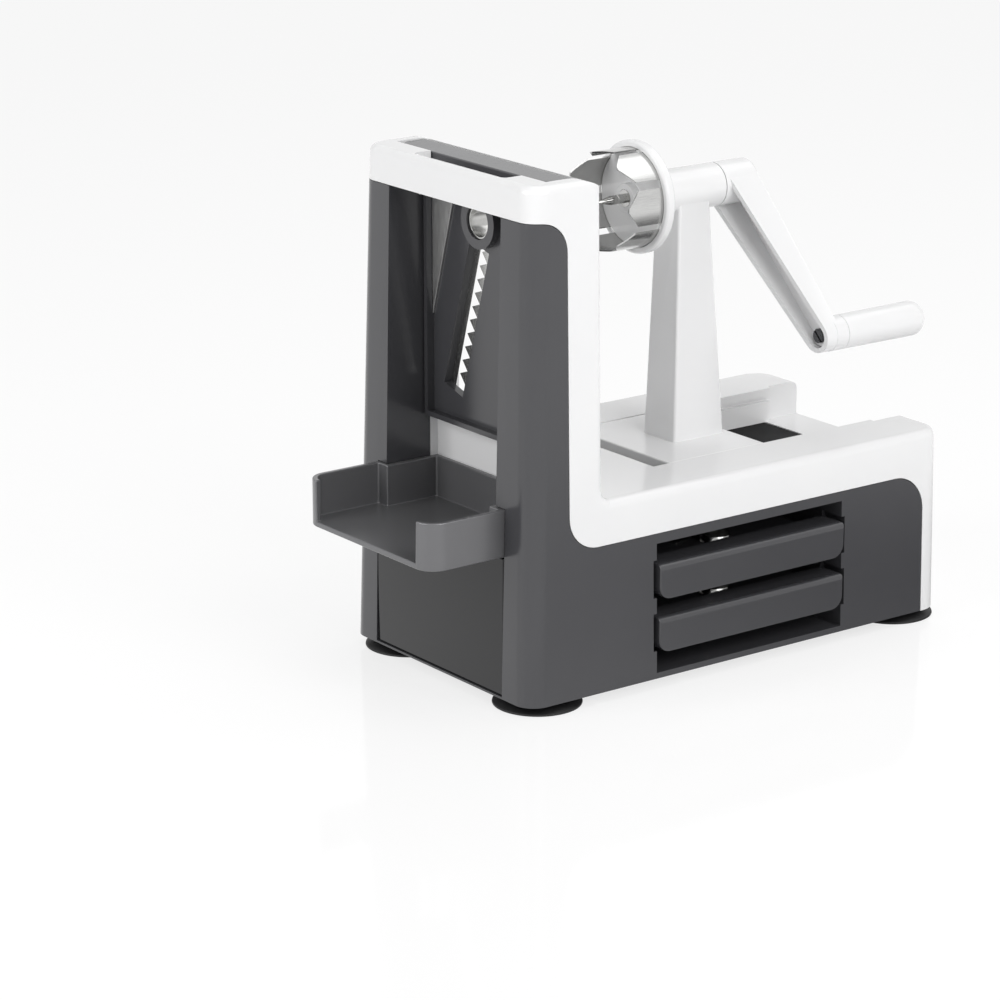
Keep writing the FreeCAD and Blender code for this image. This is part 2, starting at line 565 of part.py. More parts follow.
def comb_blade(pitch, tooth, reach_in):
    """Toothed strip on the other side of the slot; its tips point at the slicing blade."""
    t = PLATE_START + PLATE_T
    tip = SLOT_WIDTH / 2 - reach_in - TIP_GAP
    root = tip - tooth
    back = -SLOT_WIDTH / 2 - COMB_BACK
    r0, r1 = SLOT_START + 1.0, SLOT_END - 1.0
    points = [slot_frame(r1 + 3, back), slot_frame(r0 - 1, back), slot_frame(r0 - 1, root), slot_frame(r0, root)]
    count = int((r1 - r0) // pitch)
    for i in range(count):
        base = r0 + i * pitch
        points.append(slot_frame(base + pitch / 2, tip))
        points.append(slot_frame(base + pitch, root))
    points.append(slot_frame(r1 + 3, root))
    return flat_plate(points, t, t + BLADE_T)


def core_ring():
    t0, t1 = PLATE_START - 3.0, PLATE_START + PLATE_T + 3.5
    return ring_x(CORE_RADIUS - 0.05, CORE_RADIUS - 1.1, t0, t1, 0, HUB_S)


def rivets(with_comb):
    """Flat headed rivets that hold the blades."""
    t = PLATE_START + PLATE_T + BLADE_T
    spots = [slot_frame(SLOT_START + 6, SLOT_WIDTH / 2 + 6.0), slot_frame(SLOT_END - 6, SLOT_WIDTH / 2 + 6.0)]
    if with_comb:
        spots += [slot_frame(SLOT_START + 8, -SLOT_WIDTH / 2 - 3.5), slot_frame(SLOT_END - 6, -SLOT_WIDTH / 2 - 3.5)]
    heads = [rod(RIVET_RADIUS, t, t + 0.6, u, s) for u, s in spots]
    return Part.makeCompound(heads)


def in_tower(shape):
    s = shape.copy()
    s.translate(vec(LIP_X, MID_Y, CASSETTE_Z))
    return s


def in_store(shape, z):
    """Lay a cassette flat: its lip to the near side, its front face down."""
    s = shape.copy()
    m = FreeCAD.Matrix(0, -1, 0, STORE_X,
                       0, 0, -1, CASSETTE_LENGTH - STORE_PROUD,
                       1, 0, 0, z,
                       0, 0, 0, 1)
    s.transformShape(m, True)
    return s


# ---- carriage --------------------------------------------------------------------------
def make_carriage():
    x0, x1 = PLATE_FRONT, PLATE_FRONT + PLATE_LENGTH
    half = CHANNEL_HALF - SLIDE_GAP
    top = DECK_HEIGHT - 0.1
    low = GROOVE_Z - 2.0
    plate = box(x0, x1, MID_Y - half, MID_Y + half, low, top)
    plate = plate.makeFillet(0.8, top_edges(plate, top))
    tongue_half = CHANNEL_HALF + GROOVE_DEPTH - SLIDE_GAP
    tongue = box(x0 + 1, x1 - 1, MID_Y - tongue_half, MID_Y + tongue_half, GROOVE_Z + SLIDE_GAP, GROOVE_Z + GROOVE_HEIGHT - SLIDE_GAP)
    plate = plate.fuse(tongue)
    # hollow underside
    plate = plate.cut(box(x0 + WALL, x1 - WALL, MID_Y - half + WALL, MID_Y + half - WALL, low - 1, top - WALL))
    ribs = [box(x0 + 1, x1 - 1, MID_Y - 14 - 1.2, MID_Y - 14 + 1.2, low, top - 1),
            box(x0 + 1, x1 - 1, MID_Y + 14 - 1.2, MID_Y + 14 + 1.2, low, top - 1)]
    stop_half = STOP_HALF - STOP_GAP
    stop = box(x1 - 10, x1 - 6, STOP_MID - stop_half, STOP_MID + stop_half, SPLIT_Z - PARTING_GAP + STOP_GAP, top - 1)
    plate = plate.fuse(ribs + [stop])
    # column
    z_top = SHAFT_HEIGHT - 2.0
    grow = (z_top - DECK_HEIGHT) / (200.0 - 90.0)
    f_top = COLUMN_FRONT + (COLUMN_FRONT_TOP - COLUMN_FRONT) * grow
    r_top = COLUMN_REAR + (COLUMN_REAR_TOP - COLUMN_REAR) * grow
    h_top = COLUMN_HALF + (COLUMN_HALF_TOP - COLUMN_HALF) * grow
    column = tapered(rounded_wire(COLUMN_FRONT, COLUMN_REAR, MID_Y - COLUMN_HALF, MID_Y + COLUMN_HALF, top - 1.0, 1.6, 1.6),
                     rounded_wire(f_top, r_top, MID_Y - h_top, MID_Y + h_top, z_top, 1.6, 1.6))
    barrel = rod(BARREL_RADIUS, BARREL_FRONT, BARREL_REAR, MID_Y, SHAFT_HEIGHT)
    body = plate.fuse([column, barrel])
    bore = rod(BUSH_RADIUS + 0.05, BARREL_FRONT - 1, BARREL_REAR + 1, MID_Y, SHAFT_HEIGHT)
    return body.cut(bore)


BUSH_RADIUS = 6.5
BUSH_LENGTH = 12.0


def make_bush(x0):
    return ring_x(BUSH_RADIUS, SHAFT_RADIUS + RUNNING_FIT, x0, x0 + BUSH_LENGTH, MID_Y, SHAFT_HEIGHT)


# ---- crank ---------------------------------------------------------------------------
def make_shaft():
    shaft = rod(SHAFT_RADIUS, SHAFT_FRONT, ARM_BACK - 4.0, MID_Y, SHAFT_HEIGHT)
    return shaft


def make_disc():
    disc = rod(DISC_RADIUS, DISC_FRONT, DISC_BACK, MID_Y, SHAFT_HEIGHT)
    disc = disc.makeChamfer(1.0, [e for e in disc.Edges if len(e.Vertexes) == 1])
    hub = rod(DISC_HUB_RADIUS, DISC_BACK - 1, BARREL_FRONT - HUB_GAP, MID_Y, SHAFT_HEIGHT)
    boss = rod(7.0, SHAFT_FRONT, DISC_FRONT + 1, MID_Y, SHAFT_HEIGHT)
    disc = disc.fuse([hub, boss])
    disc = disc.cut(rod(SHAFT_RADIUS, SHAFT_FRONT - 5, BARREL_FRONT + 5, MID_Y, SHAFT_HEIGHT))
    groove = ring_x(CROWN_RADIUS + 0.05, CROWN_RADIUS - CROWN_T - 0.05, DISC_FRONT - 1, DISC_FRONT + 2.0, MID_Y, SHAFT_HEIGHT)
    return disc.cut(groove)


def make_crown():
    """Steel ring whose front is cut into broad pointed teeth."""
    x0 = DISC_FRONT - CROWN_LENGTH
    x1 = DISC_FRONT + 1.9
    ring = ring_x(CROWN_RADIUS, CROWN_RADIUS - CROWN_T, x0, x1, MID_Y, SHAFT_HEIGHT)
    step = 360.0 / CROWN_TEETH
    for i in range(CROWN_TEETH):
        angle = i * step + step / 4     # one tooth points straight to the near side
        slot = box(x0 - 1, DISC_FRONT + 0.4, -CROWN_GAP / 2, CROWN_GAP / 2, CROWN_RADIUS - 6, CROWN_RADIUS + 3)
        # pointed tips: take a triangle off each side of the gap
        reach = 8.5
        wide = CROWN_RADIUS * math.sin(math.radians(step / 2)) * 1.02
        tri = Part.makePolygon([vec(x0 - 1, -wide, CROWN_RADIUS - 6), vec(x0 - 1, wide, CROWN_RADIUS - 6),
                                vec(x0 + reach, 0, CROWN_RADIUS - 6), vec(x0 - 1, -wide, CROWN_RADIUS - 6)])
        notch = Part.Face(tri).extrude(vec(0, 0, 9))
        for cutter in (slot, notch):
            cutter.translate(vec(0, MID_Y, SHAFT_HEIGHT))
            cutter.rotate(vec(0, MID_Y, SHAFT_HEIGHT), AXIS_X, angle)
            ring = ring.cut(cutter)
    return ring


def make_spike():
    """Pointed pin in the middle of the disc that centres the food."""
    tip = Part.makeCone(0.3, 2.2, 9.0, vec(DISC_FRONT - CROWN_LENGTH - 1.0, MID_Y, SHAFT_HEIGHT), AXIS_X)
    stem = rod(2.2, DISC_FRONT - CROWN_LENGTH + 8.0, SHAFT_FRONT, MID_Y, SHAFT_HEIGHT)
    return tip.fuse(stem)


def arm_outline(w0, w1, x0, x1):
    """Block with two round ends: hub circle and outer end circle, arm along -Y of its own frame."""
    r0, r1 = w0 / 2, w1 / 2
    slope = math.asin((r0 - r1) / ARM_LENGTH)
    c, s = math.cos(slope), math.sin(slope)
    a0 = vec(x0, -r0 * s, r0 * c)
    a1 = vec(x0, -ARM_LENGTH - r1 * s, r1 * c)
    b1 = vec(x0, -ARM_LENGTH - r1 * s, -r1 * c)
    b0 = vec(x0, -r0 * s, -r0 * c)
    wire = Part.Wire([Part.LineSegment(a0, a1).toShape(), Part.Arc(a1, vec(x0, -ARM_LENGTH - r1, 0), b1).toShape(),
                      Part.LineSegment(b1, b0).toShape(), Part.Arc(b0, vec(x0, r0, 0), a0).toShape()])
    return Part.Face(wire).extrude(vec(x1 - x0, 0, 0))


def make_arm():
    hub_front = BARREL_REAR + HUB_GAP
    arm = arm_outline(ARM_WIDTH, ARM_WIDTH_END, hub_front, ARM_BACK)
    # the front face falls back towards the outer end
    slope = (ARM_FACE_END - ARM_FACE) / ARM_LENGTH
    far = ARM_LENGTH + 20.0
    cutter = Part.makePolygon([vec(hub_front - 5, 20, -30), vec(ARM_FACE - slope * 20, 20, -30),
                               vec(ARM_FACE + slope * far, -far, -30), vec(hub_front - 5, -far, -30),
                               vec(hub_front - 5, 20, -30)])
    arm = arm.cut(Part.Face(cutter).extrude(vec(0, 0, 60)))
    # channel in the front face, between hub and outer end
    inner = arm_outline(ARM_WIDTH - 2 * ARM_WALL, ARM_WIDTH_END - 2 * ARM_WALL, hub_front - 5, ARM_BACK - ARM_WEB)
    inner = inner.cut(rod(BARREL_RADIUS, hub_front - 10, ARM_BACK + 5, 0, 0))
    arm = arm.cut(inner)
    hub = rod(BARREL_RADIUS, hub_front, ARM_BACK + 0.6, 0, 0)
    hub = hub.makeFillet(2.0, [e for e in hub.Edges if len(e.Vertexes) == 1 and e.BoundBox.XMin > ARM_BACK])
    boss = rod(GRIP_RADIUS, ARM_BACK - 2.0, ARM_BACK + BOSS_LENGTH, -ARM_LENGTH, 0)
    pad = rod(AXLE_RADIUS + 2.6, ARM_FACE_END + 3.2, ARM_BACK, -ARM_LENGTH, 0)
    arm = arm.fuse([hub, boss, pad])
    arm = arm.cut(rod(SHAFT_RADIUS, hub_front - 5, ARM_BACK - 4.0, 0, 0))
    arm = arm.cut(rod(AXLE_RADIUS, ARM_FACE_END - 5, ARM_BACK + 20, -ARM_LENGTH, 0))
    return swing(arm)


def swing(shape):
    """Turn a piece drawn along -Y to the arm's angle and move it to the crank axis."""
    s = shape.copy()
    s.rotate(vec(0, 0, 0), AXIS_X, ARM_ANGLE)
    s.translate(vec(0, MID_Y, SHAFT_HEIGHT))
    return s


GRIP_FRONT = ARM_BACK + BOSS_LENGTH + 0.3


def make_axle():
    """Steel pin with a slotted head in the channel of the arm."""
    head_x = ARM_FACE_END + 3.2
    head = rod(AXLE_RADIUS + 0.9, head_x - 1.8, head_x, -ARM_LENGTH, 0)
    head = head.cut(box(head_x - 2.5, head_x - 1.0, -ARM_LENGTH - 5, -ARM_LENGTH + 5, -0.5, 0.5))
    stem = rod(AXLE_RADIUS, head_x, GRIP_FRONT + GRIP_LENGTH - 8.0, -ARM_LENGTH, 0)
    return swing(head.fuse(stem))


def make_grip():
    x0 = GRIP_FRONT
    x1 = x0 + GRIP_LENGTH
    r0, r1 = GRIP_RADIUS, GRIP_RADIUS_END
    bore = AXLE_RADIUS + RUNNING_FIT
    blind = x1 - 7.5
    p = [vec(x0, bore, 0), vec(x0, r0, 0), vec(x1 - 6.5, r1, 0)]
    end_mid = vec(x1 - 1.6, r1 - 2.2, 0)
    end = vec(x1, r1 - 5.6, 0)
    wire = Part.Wire([Part.LineSegment(p[0], p[1]).toShape(), Part.LineSegment(p[1], p[2]).toShape(),
                      Part.Arc(p[2], end_mid, end).toShape(),
                      Part.LineSegment(end, vec(x1 + 0.2, 0, 0)).toShape(),
                      Part.LineSegment(vec(x1 + 0.2, 0, 0), vec(blind, 0, 0)).toShape(),
                      Part.LineSegment(vec(blind, 0, 0), vec(blind, bore, 0)).toShape(),
                      Part.LineSegment(vec(blind, bore, 0), p[0]).toShape()])
    grip = Part.Face(wire).revolve(vec(0, 0, 0), AXIS_X, 360)
    grip.translate(vec(0, -ARM_LENGTH, 0))
    return swing(grip)


# ---- write the pieces -------------------------------------------------------------------
def pieces():
    outer = hull()
    out = {}
    out["housing"] = make_housing(outer)
    out["cover"] = make_cover(outer)
    out["floor_plate"] = make_floor()
    out["front_panel"] = make_front_panel()
    out["strand_chute"] = make_chute()
    names = ["foot_front_near", "foot_front_far", "foot_rear_near", "foot_rear_far"]
    for name, (x, y) in zip(names, FOOT_SPOTS):
        out[name] = make_foot(x, y, FLOOR_T + SEAT_GAP)
    frame = cassette_frame()
    lip = finger_lip()
    guide = guide_plate()
    ring = core_ring()
    blade = slicing_blade(4.0)
    out["blade_frame_a"] = in_tower(frame)
    out["finger_lip_a"] = in_tower(lip)
    out["guide_plate_a"] = in_tower(guide)
    out["slicing_blade_a"] = in_tower(blade)
    out["comb_blade_a"] = in_tower(comb_blade(COMB_PITCH, COMB_TOOTH, 4.0))
    out["core_ring_a"] = in_tower(ring)
    out["blade_rivets_a"] = in_tower(rivets(True))
    low, high = store_levels()
    out["blade_frame_b"] = in_store(frame, high)
    out["finger_lip_b"] = in_store(lip, high)
    out["guide_plate_b"] = in_store(guide, high)
    out["slicing_blade_b"] = in_store(blade, high)
    out["comb_blade_b"] = in_store(comb_blade(FINE_PITCH, FINE_TOOTH, 4.0), high)
    out["core_ring_b"] = in_store(ring, high)
    out["blade_rivets_b"] = in_store(rivets(True), high)
    out["blade_frame_c"] = in_store(frame, low)
    out["finger_lip_c"] = in_store(lip, low)
    out["guide_plate_c"] = in_store(guide, low)
    out["slicing_blade_c"] = in_store(blade, low)
    out["core_ring_c"] = in_store(ring, low)
    out["blade_rivets_c"] = in_store(rivets(False), low)
    out["carriage"] = make_carriage()
    out["bush_front"] = make_bush(BARREL_FRONT)
    out["bush_rear"] = make_bush(BARREL_REAR - BUSH_LENGTH)
    out["crank_shaft"] = make_shaft()
    out["prong_disc"] = make_disc()
    out["tooth_crown"] = make_crown()
    out["centre_spike"] = make_spike()
    out["crank_arm"] = make_arm()
    out["grip_axle"] = make_axle()
    out["crank_grip"] = make_grip()
    return out


os.makedirs("parts", exist_ok=True)
for node, shape in pieces().items():
    shape = shape.removeSplitter()
    shape.translate(SHIFT)
    shape.exportStep("parts/" + node + ".step")
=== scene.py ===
"""Visual model of a tabletop spiralizer with crank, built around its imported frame."""

import logging
import math
from collections.abc import Callable, Iterable, Sequence
from dataclasses import dataclass, field
from enum import Enum

import bmesh
import bpy
from mathutils import Matrix, Vector


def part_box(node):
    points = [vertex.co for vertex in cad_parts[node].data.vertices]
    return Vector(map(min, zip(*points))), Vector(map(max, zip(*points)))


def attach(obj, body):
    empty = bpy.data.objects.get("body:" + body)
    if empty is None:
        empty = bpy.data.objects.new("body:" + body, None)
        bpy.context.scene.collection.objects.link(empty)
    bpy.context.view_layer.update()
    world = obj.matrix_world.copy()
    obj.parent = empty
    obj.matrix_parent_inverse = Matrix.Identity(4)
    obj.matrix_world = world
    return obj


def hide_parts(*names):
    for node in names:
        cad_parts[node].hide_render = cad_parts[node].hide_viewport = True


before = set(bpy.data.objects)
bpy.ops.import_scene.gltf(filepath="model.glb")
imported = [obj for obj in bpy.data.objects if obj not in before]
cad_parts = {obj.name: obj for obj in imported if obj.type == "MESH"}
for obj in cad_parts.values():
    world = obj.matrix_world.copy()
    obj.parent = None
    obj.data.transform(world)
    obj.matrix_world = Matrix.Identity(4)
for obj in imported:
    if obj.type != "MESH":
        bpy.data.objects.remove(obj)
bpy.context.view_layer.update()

LOG = logging.getLogger("spiralizer")

MM = 0.001
WELD = 1e-6  # metres: loose corners of a node nearer than this are one corner
MERGE = 1e-4  # millimetres: the same for a turned piece
TOUCH = 0.01  # millimetres: two places nearer than this are the same place
FLAT_DEG = 0.6  # faces of a node that turn less than this are one flat face
MOULD_DEG = 30.0  # edges of a node sharper than this are rounded
SHARP_DEG = 35.0  # edges of a new piece sharper than this are edges to the eye

Socket = bpy.types.NodeSocket
Profile = Sequence[tuple[float, float]]
Triple = tuple[float, float, float]


class Axis(Enum):
    """The axis that a turned piece is spun about."""

    X = Vector((1, 0, 0))
    Z = Vector((0, 0, 1))


# ---------------------------------------------------------------- colours and nodes


def linear(colour: str) -> tuple[float, float, float, float]:
    """Turn an sRGB hex colour into linear light.

    Args:
        colour: six hex digits after a #.

    Returns:
        Red, green, blue and an alpha of 1.
    """
    parts = [int(colour[i:i + 2], 16) / 255 for i in (1, 3, 5)]
    lit = [c / 12.92 if c <= 0.04045 else ((c + 0.055) / 1.055) ** 2.4 for c in parts]
    return lit[0], lit[1], lit[2], 1.0


def add_node(tree: bpy.types.NodeTree, kind: str, inputs: dict | None = None,
             **settings) -> bpy.types.Node:
    """Add one shader node with its settings, values and links.

    Args:
        tree: the node tree that gets the node.
        kind: the node's type name.
        inputs: input name or number to a value, or to the output socket that feeds it.
        **settings: the node's own properties.

    Returns:
        The new node.
    """
    node = tree.nodes.new(kind)
    for key, value in settings.items():
        setattr(node, key, value)
    for key, value in (inputs or {}).items():
        if isinstance(value, Socket):
            tree.links.new(value, node.inputs[key])
        else:
            node.inputs[key].default_value = value
    return node


def new_material(name: str) -> tuple[bpy.types.Material, bpy.types.NodeTree]:
    """Make an empty node material.

    Args:
        name: the real material's name.

    Returns:
        The material and its cleared node tree.
    """
    material = bpy.data.materials.new(name)
    material.use_nodes = True
    material.node_tree.nodes.clear()
    return material, material.node_tree


def pattern_space(tree: bpy.types.NodeTree, stretch: Triple = (1, 1, 1)) -> Socket:
    """Lay out coordinates on the object in millimetres.

    Args:
        tree: the node tree that reads them.
        stretch: how fast a pattern changes along each axis, where 1 is its true scale.

    Returns:
        The socket that gives the coordinates.
    """
    coords = add_node(tree, "ShaderNodeTexCoord").outputs["Object"]
    scale = tuple(s / MM for s in stretch)
    return add_node(tree, "ShaderNodeMapping", {"Vector": coords, "Scale": scale}).outputs["Vector"]


# ---------------------------------------------------------------- finishes


@dataclass(frozen=True)
class MouldedPlastic:
    """Injection moulded plastic: one colour all through, with the mould's own surface on it.

    A polished mould gives a clear reflection; a spark-eroded one gives a fine even grain that
    spreads it.  Handling leaves broad patches that are a little more or less glossy, and flat
    walls sink and swell by a few hundredths of a millimetre as they cool.  The real grain is
    under 0.1 mm and wouldn't show, so it is drawn coarser.
    """

    name: str
    colour: str
    shade: str
    roughness: float
    grain_mm: float
    grain_depth: float
    ior: float = 1.54
    patch_mm: float = 38.0
    gloss_swing: float = 0.2
    wave_mm: float = 55.0
    wave_depth: float = 0.05
    metallic: float = 0.0

    def build(self) -> bpy.types.Material:
        """Make the material.

        Returns:
            The material.
        """
        material, tree = new_material(self.name)
        space = pattern_space(tree)
        patches = add_node(tree, "ShaderNodeTexNoise",
                           {"Vector": space, "Scale": 1 / self.patch_mm, "Detail": 3.0, "Roughness": 0.55})
        tone = add_node(tree, "ShaderNodeMix",
                        {"Factor": patches.outputs["Fac"], 6: linear(self.shade), 7: linear(self.colour)},
                        data_type="RGBA")
        gloss = add_node(tree, "ShaderNodeMapRange",
                         {"Value": patches.outputs["Fac"], "From Min": 0.0, "From Max": 1.0,
                          "To Min": self.roughness * (1 - self.gloss_swing),
                          "To Max": self.roughness * (1 + self.gloss_swing)})
        grain = add_node(tree, "ShaderNodeTexNoise",
                         {"Vector": space, "Scale": 1 / self.grain_mm, "Detail": 2.0, "Roughness": 0.6})
        fine = add_node(tree, "ShaderNodeBump", {"Height": grain.outputs["Fac"], "Strength": 1.0,
                                                 "Distance": self.grain_depth * MM})
        wave = add_node(tree, "ShaderNodeTexNoise",
                        {"Vector": space, "Scale": 1 / self.wave_mm, "Detail": 1.0, "Roughness": 0.4})
        broad = add_node(tree, "ShaderNodeBump",
                         {"Height": wave.outputs["Fac"], "Strength": 1.0,
                          "Distance": self.wave_depth * MM, "Normal": fine.outputs["Normal"]})
        shader = add_node(tree, "ShaderNodeBsdfPrincipled",
                          {"Base Color": tone.outputs[2], "Roughness": gloss.outputs["Result"],
                           "Metallic": self.metallic, "IOR": self.ior, "Normal": broad.outputs["Normal"]})
        add_node(tree, "ShaderNodeOutputMaterial", {"Surface": shader.outputs["BSDF"]})
        return material


@dataclass(frozen=True)
class GroundSteel:
    """Steel strip or bar, ground one way: bright, with fine parallel lines.

    The real lines are a few hundredths of a millimetre apart and are drawn wider to show.
    """

    name: str
    colour: str
    shade: str
    roughness: float
    line_mm: float
    stretch: Triple
    line_depth: float = 0.006
    smoother: float = 0.75
    rougher: float = 1.3

    def build(self) -> bpy.types.Material:
        """Make the material.

        Returns:
            The material.
        """
        material, tree = new_material(self.name)
        space = pattern_space(tree, self.stretch)
        lines = add_node(tree, "ShaderNodeTexNoise",
                         {"Vector": space, "Scale": 1 / self.line_mm, "Detail": 3.0, "Roughness": 0.6})
        tone = add_node(tree, "ShaderNodeMix",
                        {"Factor": lines.outputs["Fac"], 6: linear(self.shade), 7: linear(self.colour)},
                        data_type="RGBA")
        gloss = add_node(tree, "ShaderNodeMapRange",
                         {"Value": lines.outputs["Fac"], "From Min": 0.3, "From Max": 0.7,
                          "To Min": self.roughness * self.smoother, "To Max": self.roughness * self.rougher})
        bump = add_node(tree, "ShaderNodeBump", {"Height": lines.outputs["Fac"], "Strength": 1.0,
                                                 "Distance": self.line_depth * MM})
        shader = add_node(tree, "ShaderNodeBsdfPrincipled",
                          {"Base Color": tone.outputs[2], "Roughness": gloss.outputs["Result"],
                           "Metallic": 1.0, "Normal": bump.outputs["Normal"]})
        add_node(tree, "ShaderNodeOutputMaterial", {"Surface": shader.outputs["BSDF"]})
        return material


@dataclass(frozen=True)
class MouldedRubber:
    """Black compression moulded rubber: dull, slightly dusty on the surface."""

    name: str
    colour: str
    dust: str
    roughness: float = 0.55
    ior: float = 1.4
    dust_mm: float = 6.0
    pore_mm: float = 0.5
    pore_depth: float = 0.02

    def build(self) -> bpy.types.Material:
        """Make the material.

        Returns:
            The material.
        """
        material, tree = new_material(self.name)
        space = pattern_space(tree)
        dust = add_node(tree, "ShaderNodeTexNoise",
                        {"Vector": space, "Scale": 1 / self.dust_mm, "Detail": 4.0})
        tone = add_node(tree, "ShaderNodeMix",
                        {"Factor": dust.outputs["Fac"], 6: linear(self.colour), 7: linear(self.dust)},
                        data_type="RGBA")
        pores = add_node(tree, "ShaderNodeTexNoise",
                         {"Vector": space, "Scale": 1 / self.pore_mm, "Detail": 2.0})
        bump = add_node(tree, "ShaderNodeBump", {"Height": pores.outputs["Fac"], "Strength": 1.0,
                                                 "Distance": self.pore_depth * MM})
        shader = add_node(tree, "ShaderNodeBsdfPrincipled",
                          {"Base Color": tone.outputs[2], "Roughness": self.roughness, "IOR": self.ior,
                           "Normal": bump.outputs["Normal"]})
        add_node(tree, "ShaderNodeOutputMaterial", {"Surface": shader.outputs["BSDF"]})
        return material


class Finish(Enum):
    """Every finish on the object, by what the real piece is made of and how it was made; one of them is
    painted shade.
    """

    # ABS from a polished mould: clean white, with clear highlights along every rounding.
    WHITE = MouldedPlastic("white_gloss_abs", "#F2F2F2", "#EFEFF0", 0.13, 0.6, 0.002)
    # ABS from a finely eroded mould: an even satin that spreads what it reflects.
    GREY = MouldedPlastic("dark_grey_satin_abs", "#444447", "#414144", 0.22, 0.35, 0.007, wave_depth=0.02)
    # Nearly black ABS from a polished mould: it takes its tone from what it reflects.
    GLOSS_GREY = MouldedPlastic("dark_grey_polished_abs", "#19191B", "#171719", 0.12, 0.6, 0.002, ior=1.44)
    # ABS with metal flake in it: a broad soft gleam that turns dark away from the light.
    SILVER = MouldedPlastic("silver_metallic_abs", "#737375", "#6C6C6E", 0.3, 0.5, 0.004, metallic=0.4)
    # The housing's ABS from a slightly coarser mould.
    CASSETTE = MouldedPlastic("cassette_grey_abs", "#434346", "#404043", 0.22, 0.4, 0.006)
    # Painted shade: black with hardly a highlight from any side, for the channel's shaded floor.
    PAINTED_SHADE_BLACK = MouldedPlastic("painted_shade_black", "#0D0D0E", "#0A0A0B", 0.62, 0.4, 0.02, ior=1.2)
    # Acetal in its natural colour: warm white and slightly waxy.
    ACETAL = MouldedPlastic("natural_acetal", "#E9E8E2", "#E3E2DB", 0.3, 0.5, 0.004, ior=1.48)
    # Belt-brushed strip: bright, with lines that stretch each highlight.
    BLADE = GroundSteel("brushed_stainless_blade", "#D2D2D0", "#BDBDBB", 0.22, 0.25, (1.0, 1.0, 0.04))
    # The same strip, brushed along the crown's teeth.
    CROWN = GroundSteel("brushed_stainless_crown", "#CFCFCE", "#B8B8B7", 0.2, 0.3, (0.05, 1.0, 1.0))
    # Thin plate, polished and then dulled by use: a wide pale sheen.
    GUIDE = GroundSteel("polished_stainless_guide", "#C8C8C7", "#BDBDBC", 0.42, 0.4, (1.0, 1.0, 0.05), 0.002)
    # Bar ground while it turned: faint rings round it.
    SHAFT = GroundSteel("ground_stainless_bar", "#C6C6C4", "#ABABA9", 0.18, 0.2, (1.0, 0.1, 0.1))
    # Turned steel pin, chemically blackened: dark metal with a narrow highlight.
    AXLE = GroundSteel("blackened_steel_pin", "#5C5C5E", "#48484A", 0.3, 0.2, (1.0, 0.1, 0.1))
    # Rubber pressed in a plain mould: black and dull, with a little dust.
    RUBBER = MouldedRubber("black_foot_rubber", "#111112", "#19191A")


class Paintbox:
    """Builds each finish once and hands out its material."""

    def __init__(self) -> None:
        """Start with nothing built."""
        self._made: dict[Finish, bpy.types.Material] = {}

    def get(self, finish: Finish) -> bpy.types.Material:
        """Hand out a finish's material, built at its first use.

        Args:
            finish: the finish.

        Returns:
            Its material.
        """
        if finish not in self._made:
            self._made[finish] = finish.value.build()
        return self._made[finish]


# ---------------------------------------------------------------- mesh helpers


def node_box(node: str) -> tuple[Vector, Vector]:
    """Lowest and highest corners of a frame node at rest, in millimetres."""
    low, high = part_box(node)
    return Vector(low) / MM, Vector(high) / MM


def turned(profile: Profile, axis: Axis, centre: Vector, steps: int = 96) -> bmesh.types.BMesh:
    """Spin a half section into a solid.

    Args:
        profile: (radius, distance along the axis) points; ends on the axis close the form.
        axis: the axis of the spin.
        centre: where distance 0 lies, in millimetres.
        steps: the number of facets round the form.

    Returns:
        The turned mesh, in millimetres.
    """
    bm = bmesh.new()
    along = axis.value
    side = Axis.X.value if axis is Axis.Z else Axis.Z.value
    verts = [bm.verts.new(centre + side * r + along * a) for r, a in profile]
    edges = [bm.edges.new(pair) for pair in zip(verts, verts[1:])]
    if max(profile[0][0], profile[-1][0]) > 0:
        edges.append(bm.edges.new((verts[-1], verts[0])))
    bmesh.ops.spin(bm, geom=verts + edges, cent=centre, axis=along, angle=math.tau, steps=steps,
                   use_merge=True)
    bmesh.ops.remove_doubles(bm, verts=bm.verts, dist=MERGE)
    bmesh.ops.recalc_face_normals(bm, faces=bm.faces)
    return bm


def rounded(corners: Sequence[Triple], segments: int = 6) -> list[tuple[float, float]]:
    """Round the corners of a closed outline.

    Args:
        corners: (u, v, radius) for each corner; radius 0 keeps it sharp.
        segments: the pieces in each rounding.

    Returns:
        The (u, v) points of the outline, roundings included.
    """
    out: list[tuple[float, float]] = []
    for i, (u, v, radius) in enumerate(corners):
        if radius <= 0:
            out.append((u, v))
            continue
        here = Vector((u, v))
        before = Vector(corners[i - 1][:2]) - here
        after = Vector(corners[(i + 1) % len(corners)][:2]) - here
        half = before.angle(after) / 2
        reach = radius / math.tan(half)
        start = here + before.normalized() * reach
        end = here + after.normalized() * reach
        middle = (before.normalized() + after.normalized()).normalized()
        centre = here + middle * (radius / math.sin(half))
        for k in range(segments + 1):
            spoke = start.lerp(end, k / segments) - centre
            out.append(tuple(centre + spoke.normalized() * radius))
    return out


def slab(outline: Profile, lift: Callable[[float, float], Vector], push: Vector) -> bmesh.types.BMesh:
    """Push a flat outline into a solid.

    Args:
        outline: the (u, v) points of the outline.
        lift: gives the point in space of a (u, v) point.
        push: the thickness, as a vector in millimetres.

    Returns:
        The solid.
    """
    bm = bmesh.new()
    face = bm.faces.new([bm.verts.new(lift(u, v)) for u, v in outline])
    pushed = bmesh.ops.extrude_face_region(bm, geom=[face])
    moved = [v for v in pushed["geom"] if isinstance(v, bmesh.types.BMVert)]
    bmesh.ops.translate(bm, verts=moved, vec=push)
    bmesh.ops.recalc_face_normals(bm, faces=bm.faces)
    return bm


